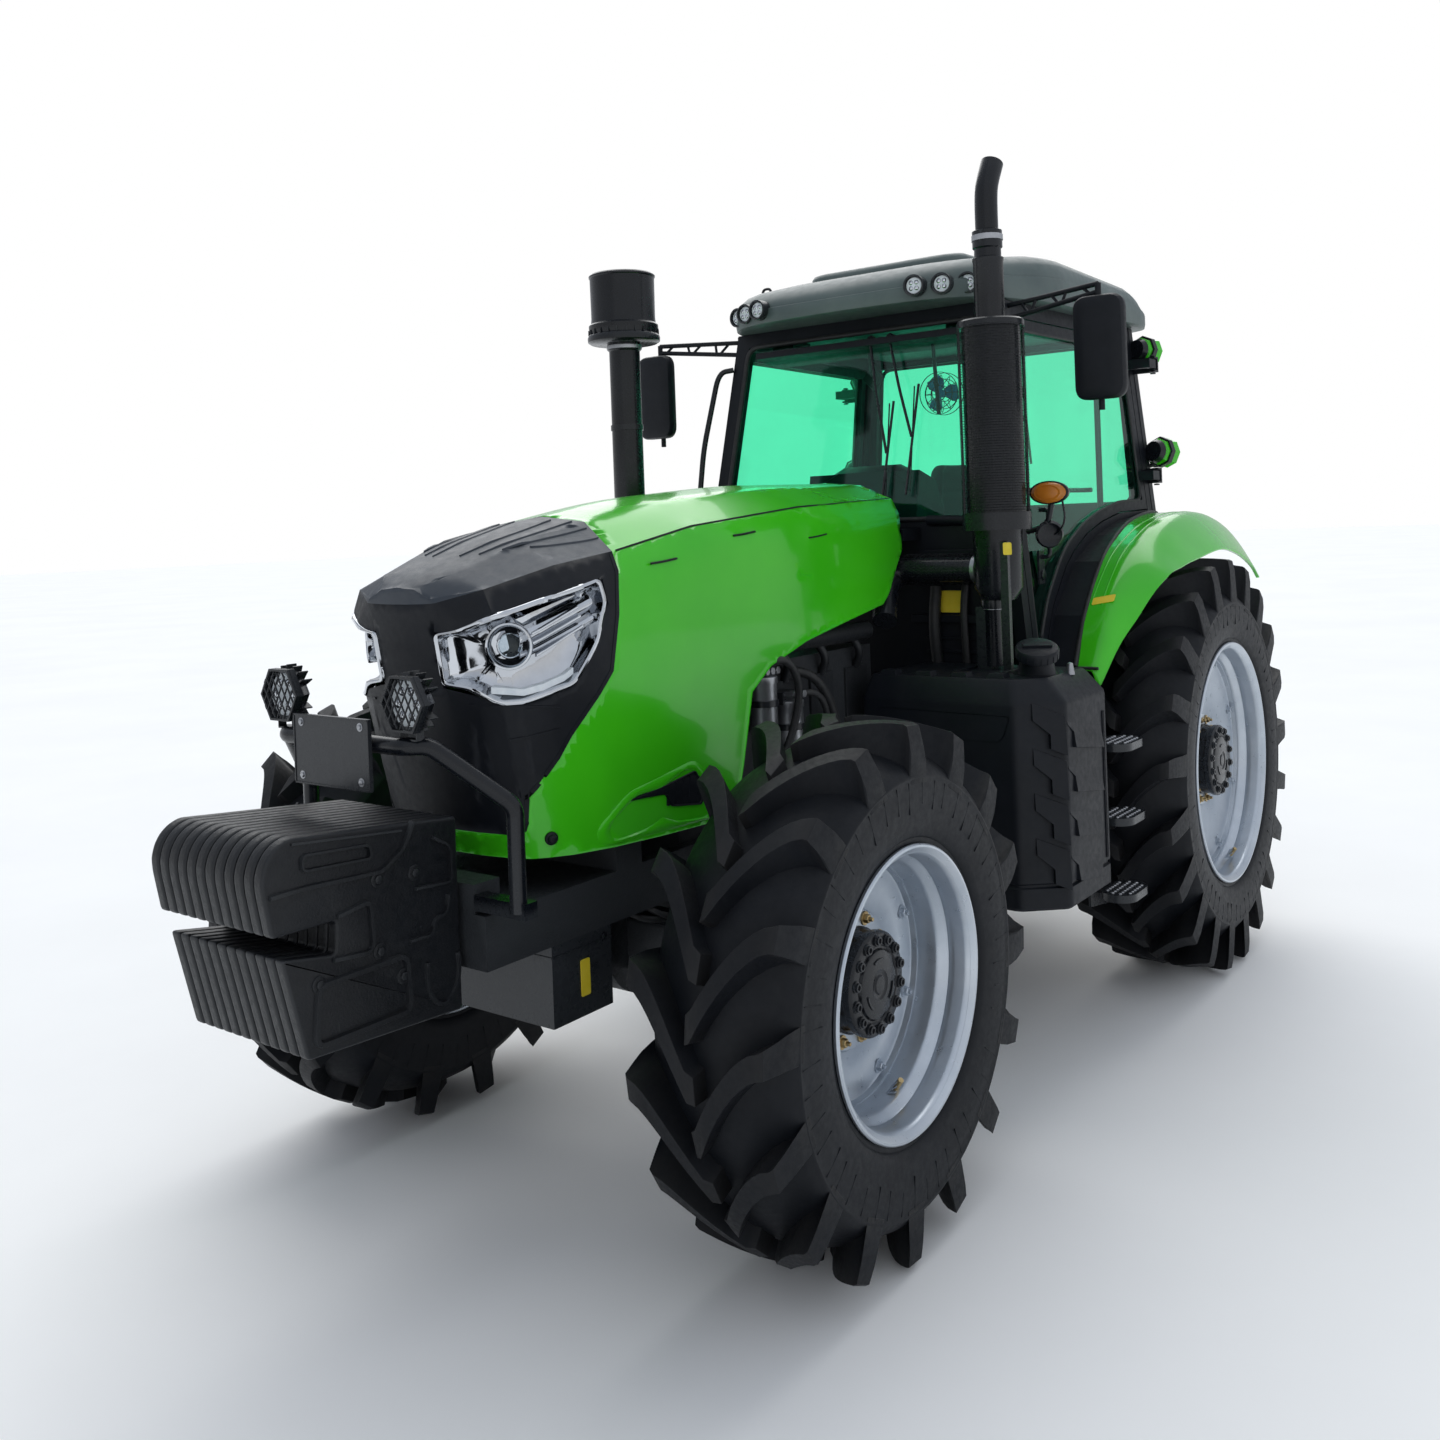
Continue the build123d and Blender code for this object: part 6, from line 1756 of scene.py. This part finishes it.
hoses = Piece("hoses", HOSE)
for radius, points in (
        (0.013, ((2.36, 0.33, 1.49), (2.3, 0.4, 1.54), (2.2, 0.395, 1.42), (2.23, 0.34, 1.19),
                 (2.4, 0.285, 1.06))),
        (0.011, ((2.2, 0.33, 1.39), (2.06, 0.385, 1.4), (1.98, 0.36, 1.2), (2.08, 0.3, 1.0))),
        (0.016, ((2.12, 0.27, 1.47), (2.02, 0.34, 1.44), (1.9, 0.345, 1.26), (1.86, 0.29, 1.0)))):
    hoses.tube([at(*point) for point in points], radius, 12, 0.12)
for y in (-0.06, 0.03):
    hoses.tube([at(-0.32, y, 1.04), at(-0.42, y, 1.08), at(-0.56, y * 1.6, 1.13), at(-0.42, y * 1.4, 1.19),
                at(-0.24, y, 1.16)], 0.01, 12, 0.08)
for x, y in ((2.9, 0.2), (2.96, 0.17)):
    hoses.tube([at(x, y, 0.905), at(x - 0.02, y + 0.12, 0.83), at(2.72, 0.33, 0.8), at(2.7, 0.28, 0.775)],
               0.009, 12, 0.08)
hoses.done("chassis", 0.0, 60.0)

STEER_BAR = 2.48
axle = Piece("axle_fittings", CAST)
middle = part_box("front_axle_beam")
axle_z = (middle[0].z + middle[1].z) / 2.0
axle.turned([(0, 0.118), (0.15, 0.12), (0.168, 0.1), (0.168, 0.05)], at(FRONT_AXLE, 0.0, axle_z), (0, -1, 0),
            40)
for angle in around(10):
    axle.bolt(at(FRONT_AXLE + 0.145 * cos(angle), -0.1185, axle_z + 0.145 * sin(angle)), (0, -1, 0),
              0.009, 0.008)
for out in (1.0, -1.0):
    for x in (2.7, 2.82):
        for z in (-0.071, 0.071):
            axle.block(at(x, out * 0.33, axle_z + z), (0.03, 0.36, 0.008))
axle.rod(at(STEER_BAR, -0.3, axle_z + 0.03), at(STEER_BAR, 0.3, axle_z + 0.03), 0.03, 24, BLACK)
axle.rod(at(STEER_BAR, -0.48, axle_z + 0.03), at(STEER_BAR, 0.48, axle_z + 0.03), 0.014, 18, STEEL)
for x in (2.53, 2.6):
    axle.block(at(x, 0.0, axle_z + 0.01), (0.06, 0.12, 0.06))
axle.done("chassis", 0.002)

for out, side in SIDES:
    joint = Piece(f"knuckle_fittings_{side}", CAST)
    for z in (-0.1605, 0.1505):
        joint.turned([(0, 0), (0.044, 0), (0.044, 0.008), (0.034, 0.01), (0, 0.01)],
                     at(FRONT_AXLE, out * 0.65, axle_z + z), UP, 28)
        for angle in around(4, 0.5):
            joint.bolt(at(FRONT_AXLE + 0.033 * cos(angle), out * 0.65 + 0.033 * sin(angle),
                          axle_z + z + (0.01 if z > 0 else 0.0)), (0, 0, 1 if z > 0 else -1), 0.0055, 0.004,
                       False, ZINC)
    joint.turned([(0, -0.03), (0.024, -0.03), (0.026, 0.0), (0.018, 0.026), (0, 0.028)],
                 at(2.535, out * 0.64, axle_z + 0.01), UP, 24)
    joint.done(f"knuckle_{side}", 0.001)

hitch = Piece("hitch_fittings", CAST)
trumpet_z = 0.8775
for out in (1.0, -1.0):
    for y in (0.265, 0.545):
        for angle in around(12):
            hitch.bolt(at(0.135 * cos(angle), out * y, trumpet_z + 0.135 * sin(angle)), (0, out, 0),
                       0.01, 0.009)
        hitch.hoop(0.12, 0.158, -0.012, 0.006, at(0.0, out * y, trumpet_z), (0, out, 0), 40)
for k in range(4):
    y = -0.135 + 0.09 * k
    hitch.turned([(0, 0), (0.028, 0.0), (0.028, 0.03), (0.022, 0.034), (0.018, 0.052), (0, 0.052)],
                 at(-0.325, y, 1.17), (-1, 0, 0), 24)
    hitch.turned([(0, 0.05), (0.021, 0.05), (0.023, 0.054), (0.023, 0.066), (0, 0.07)], at(-0.325, y, 1.17),
                 (-1, 0, 0), 24, RED)
hitch.block(at(-0.275, 0.0, 1.16), (0.09, 0.44, 0.12))
spline_points = []
for k, angle in enumerate(around(24)):
    radius = 0.0172 if k % 2 else 0.015
    spline_points.append((radius * cos(angle), radius * sin(angle)))
hitch.prism([at(-0.516, y, 0.72 + z) for y, z in spline_points], Vector((-0.002, 0, 0)), Vector((0.15, 0, 0)),
            STEEL)
shield = [(-0.125, 0.64), (-0.125, 0.815), (0.125, 0.815), (0.125, 0.64)]
for (ya, za), (yb, zb) in zip(shield, shield[1:]):
    wall = Vector((0, yb - ya, zb - za)).normalized()
    inward = Vector((0, wall.z, -wall.y)) * 0.006
    hitch.loft([[at(x, ya, za), at(x, yb, zb), at(x, yb, zb) + inward, at(x, ya, za) + inward]
                for x in (-0.33, -0.44)])
hitch.rod(at(-0.99, 0, 0.396), at(-0.99, 0, 0.5), 0.014, 18, STEEL)
hitch.drum(0.024, 0.5, 0.512, at(-0.99, 0, 0), UP, 20, STEEL)
hitch.done("chassis", 0.001)

links = Piece("link_fittings", STEEL)
for out in (1.0, -1.0):
    links.turned([(0.015, -0.027), (0.03, -0.027), (0.036, -0.012), (0.036, 0.012), (0.03, 0.027),
                  (0.015, 0.027)], at(-1.3, out * 0.44, 0.56), (0, 1, 0), 32, closed=True)
    links.bolt(at(-0.26, out * 0.304, 0.52), (0, out, 0), 0.012, 0.01)
links.done("lower_links", 0.0008)

rods = Piece("lift_rod_fittings", STEEL)
for out in (1.0, -1.0):
    y = out * 0.39
    rods.hoop(0.0205, 0.028, 0.0, 0.15, at(-0.85, y, 0.64), UP, 24, CAST)
    rods.turned([(0.0205, 0.0), (0.033, 0.004), (0.033, 0.02), (0.0205, 0.024)], at(-0.85, y, 0.8), UP, 6, None,
                True)
rods.done("lift_rods", 0.0008)


# ---------------------------------------------------------------- floor, light and camera
FLOOR_HALF = 120.0


def stage_floor():
    """Pale floor, finely mottled, that runs to the horizon."""
    bm = bmesh.new()
    bmesh.ops.create_grid(bm, x_segments=8, y_segments=8, size=FLOOR_HALF)
    made = material("floor_pale", (0.91, 0.91, 0.9), (0.95, 0.95, 0.94), (0.75, 0.85), 0.4, (40.0, 0.05, 0.002))
    obj = add_mesh("floor", bm, made)


def world_light():
    """Soft sky: pale blue above, bright at the horizon, tan below; the view behind is plain white."""
    world = bpy.data.worlds.new("studio")
    bpy.context.scene.world = world
    world.use_nodes = True
    tree = world.node_tree
    link = tree.links.new
    split = tree.nodes.new("ShaderNodeSeparateXYZ")
    link(tree.nodes.new("ShaderNodeTexCoord").outputs["Generated"], split.inputs[0])
    sky = ramp(tree, spread(tree, split.outputs["Z"], 0.0, 1.0, -1.0, 1.0),
               [(0.0, (0.3, 0.25, 0.2)), (0.485, (0.42, 0.38, 0.33)), (0.505, (1.0, 1.0, 1.0)),
                (0.62, (0.86, 0.91, 1.0)), (1.0, (0.74, 0.82, 0.95))])
    light = tree.nodes["Background"]
    light.inputs["Strength"].default_value = 0.62
    link(sky, light.inputs["Color"])
    plain = node(tree, "ShaderNodeBackground", Color=(1.0, 1.0, 1.0, 1.0), Strength=1.0)
    seen = tree.nodes.new("ShaderNodeLightPath").outputs["Is Camera Ray"]
    mix = joined(tree, "ShaderNodeMixShader", seen, light.outputs[0], plain.outputs[0])
    link(mix, tree.nodes["World Output"].inputs["Surface"])


def sun_light(name, away, strength, angle, colour):
    """A broad, distant light from one side."""
    lamp = bpy.data.lights.new(name, "SUN")
    lamp.energy = strength
    lamp.angle = radians(angle)
    lamp.color = colour
    obj = add_object(name, lamp)
    obj.location = away
    obj.rotation_euler = (-Vector(away)).to_track_quat("-Z", "Y").to_euler()


CAMERA_PLACE = (4.4205, 2.772, 1.957)
CAMERA_YAW, CAMERA_PITCH, CAMERA_ROLL = (radians(a) for a in (-143.0, -0.27, -2.09))
FOCAL_PIXELS = 1314.7
MIDDLE_PIXEL = (714.0, 533.9)
PICTURE = 1440.0
SENSOR = 36.0


def photo_camera():
    """The camera at the photograph's place."""
    lens = bpy.data.cameras.new("camera")
    lens.sensor_width = SENSOR
    lens.lens = FOCAL_PIXELS * SENSOR / PICTURE
    lens.shift_x = (PICTURE / 2 - MIDDLE_PIXEL[0]) / PICTURE
    lens.shift_y = (MIDDLE_PIXEL[1] - PICTURE / 2) / PICTURE
    lens.clip_start = 0.05
    lens.clip_end = 500.0
    level = cos(CAMERA_PITCH)
    forward = Vector((level * cos(CAMERA_YAW), level * sin(CAMERA_YAW), sin(CAMERA_PITCH)))
    right = forward.cross(UP).normalized()
    above = right.cross(forward)
    turned_right = right * cos(CAMERA_ROLL) + above * sin(CAMERA_ROLL)
    turned_up = above * cos(CAMERA_ROLL) - right * sin(CAMERA_ROLL)
    axes = Matrix((turned_right, turned_up, -forward)).transposed().to_4x4()
    obj = add_object("camera", lens)
    obj.matrix_world = Matrix.Translation(CAMERA_PLACE) @ axes
    bpy.context.scene.camera = obj


stage_floor()
world_light()
sun_light("sky_behind", (-5.0, -3.5, 7.0), 1.8, 70.0, (1.0, 0.99, 0.96))
sun_light("side_fill", (2.5, 7.0, 3.5), 0.5, 120.0, (0.96, 0.98, 1.0))
photo_camera()
bpy.context.scene.view_settings.view_transform = "Standard"
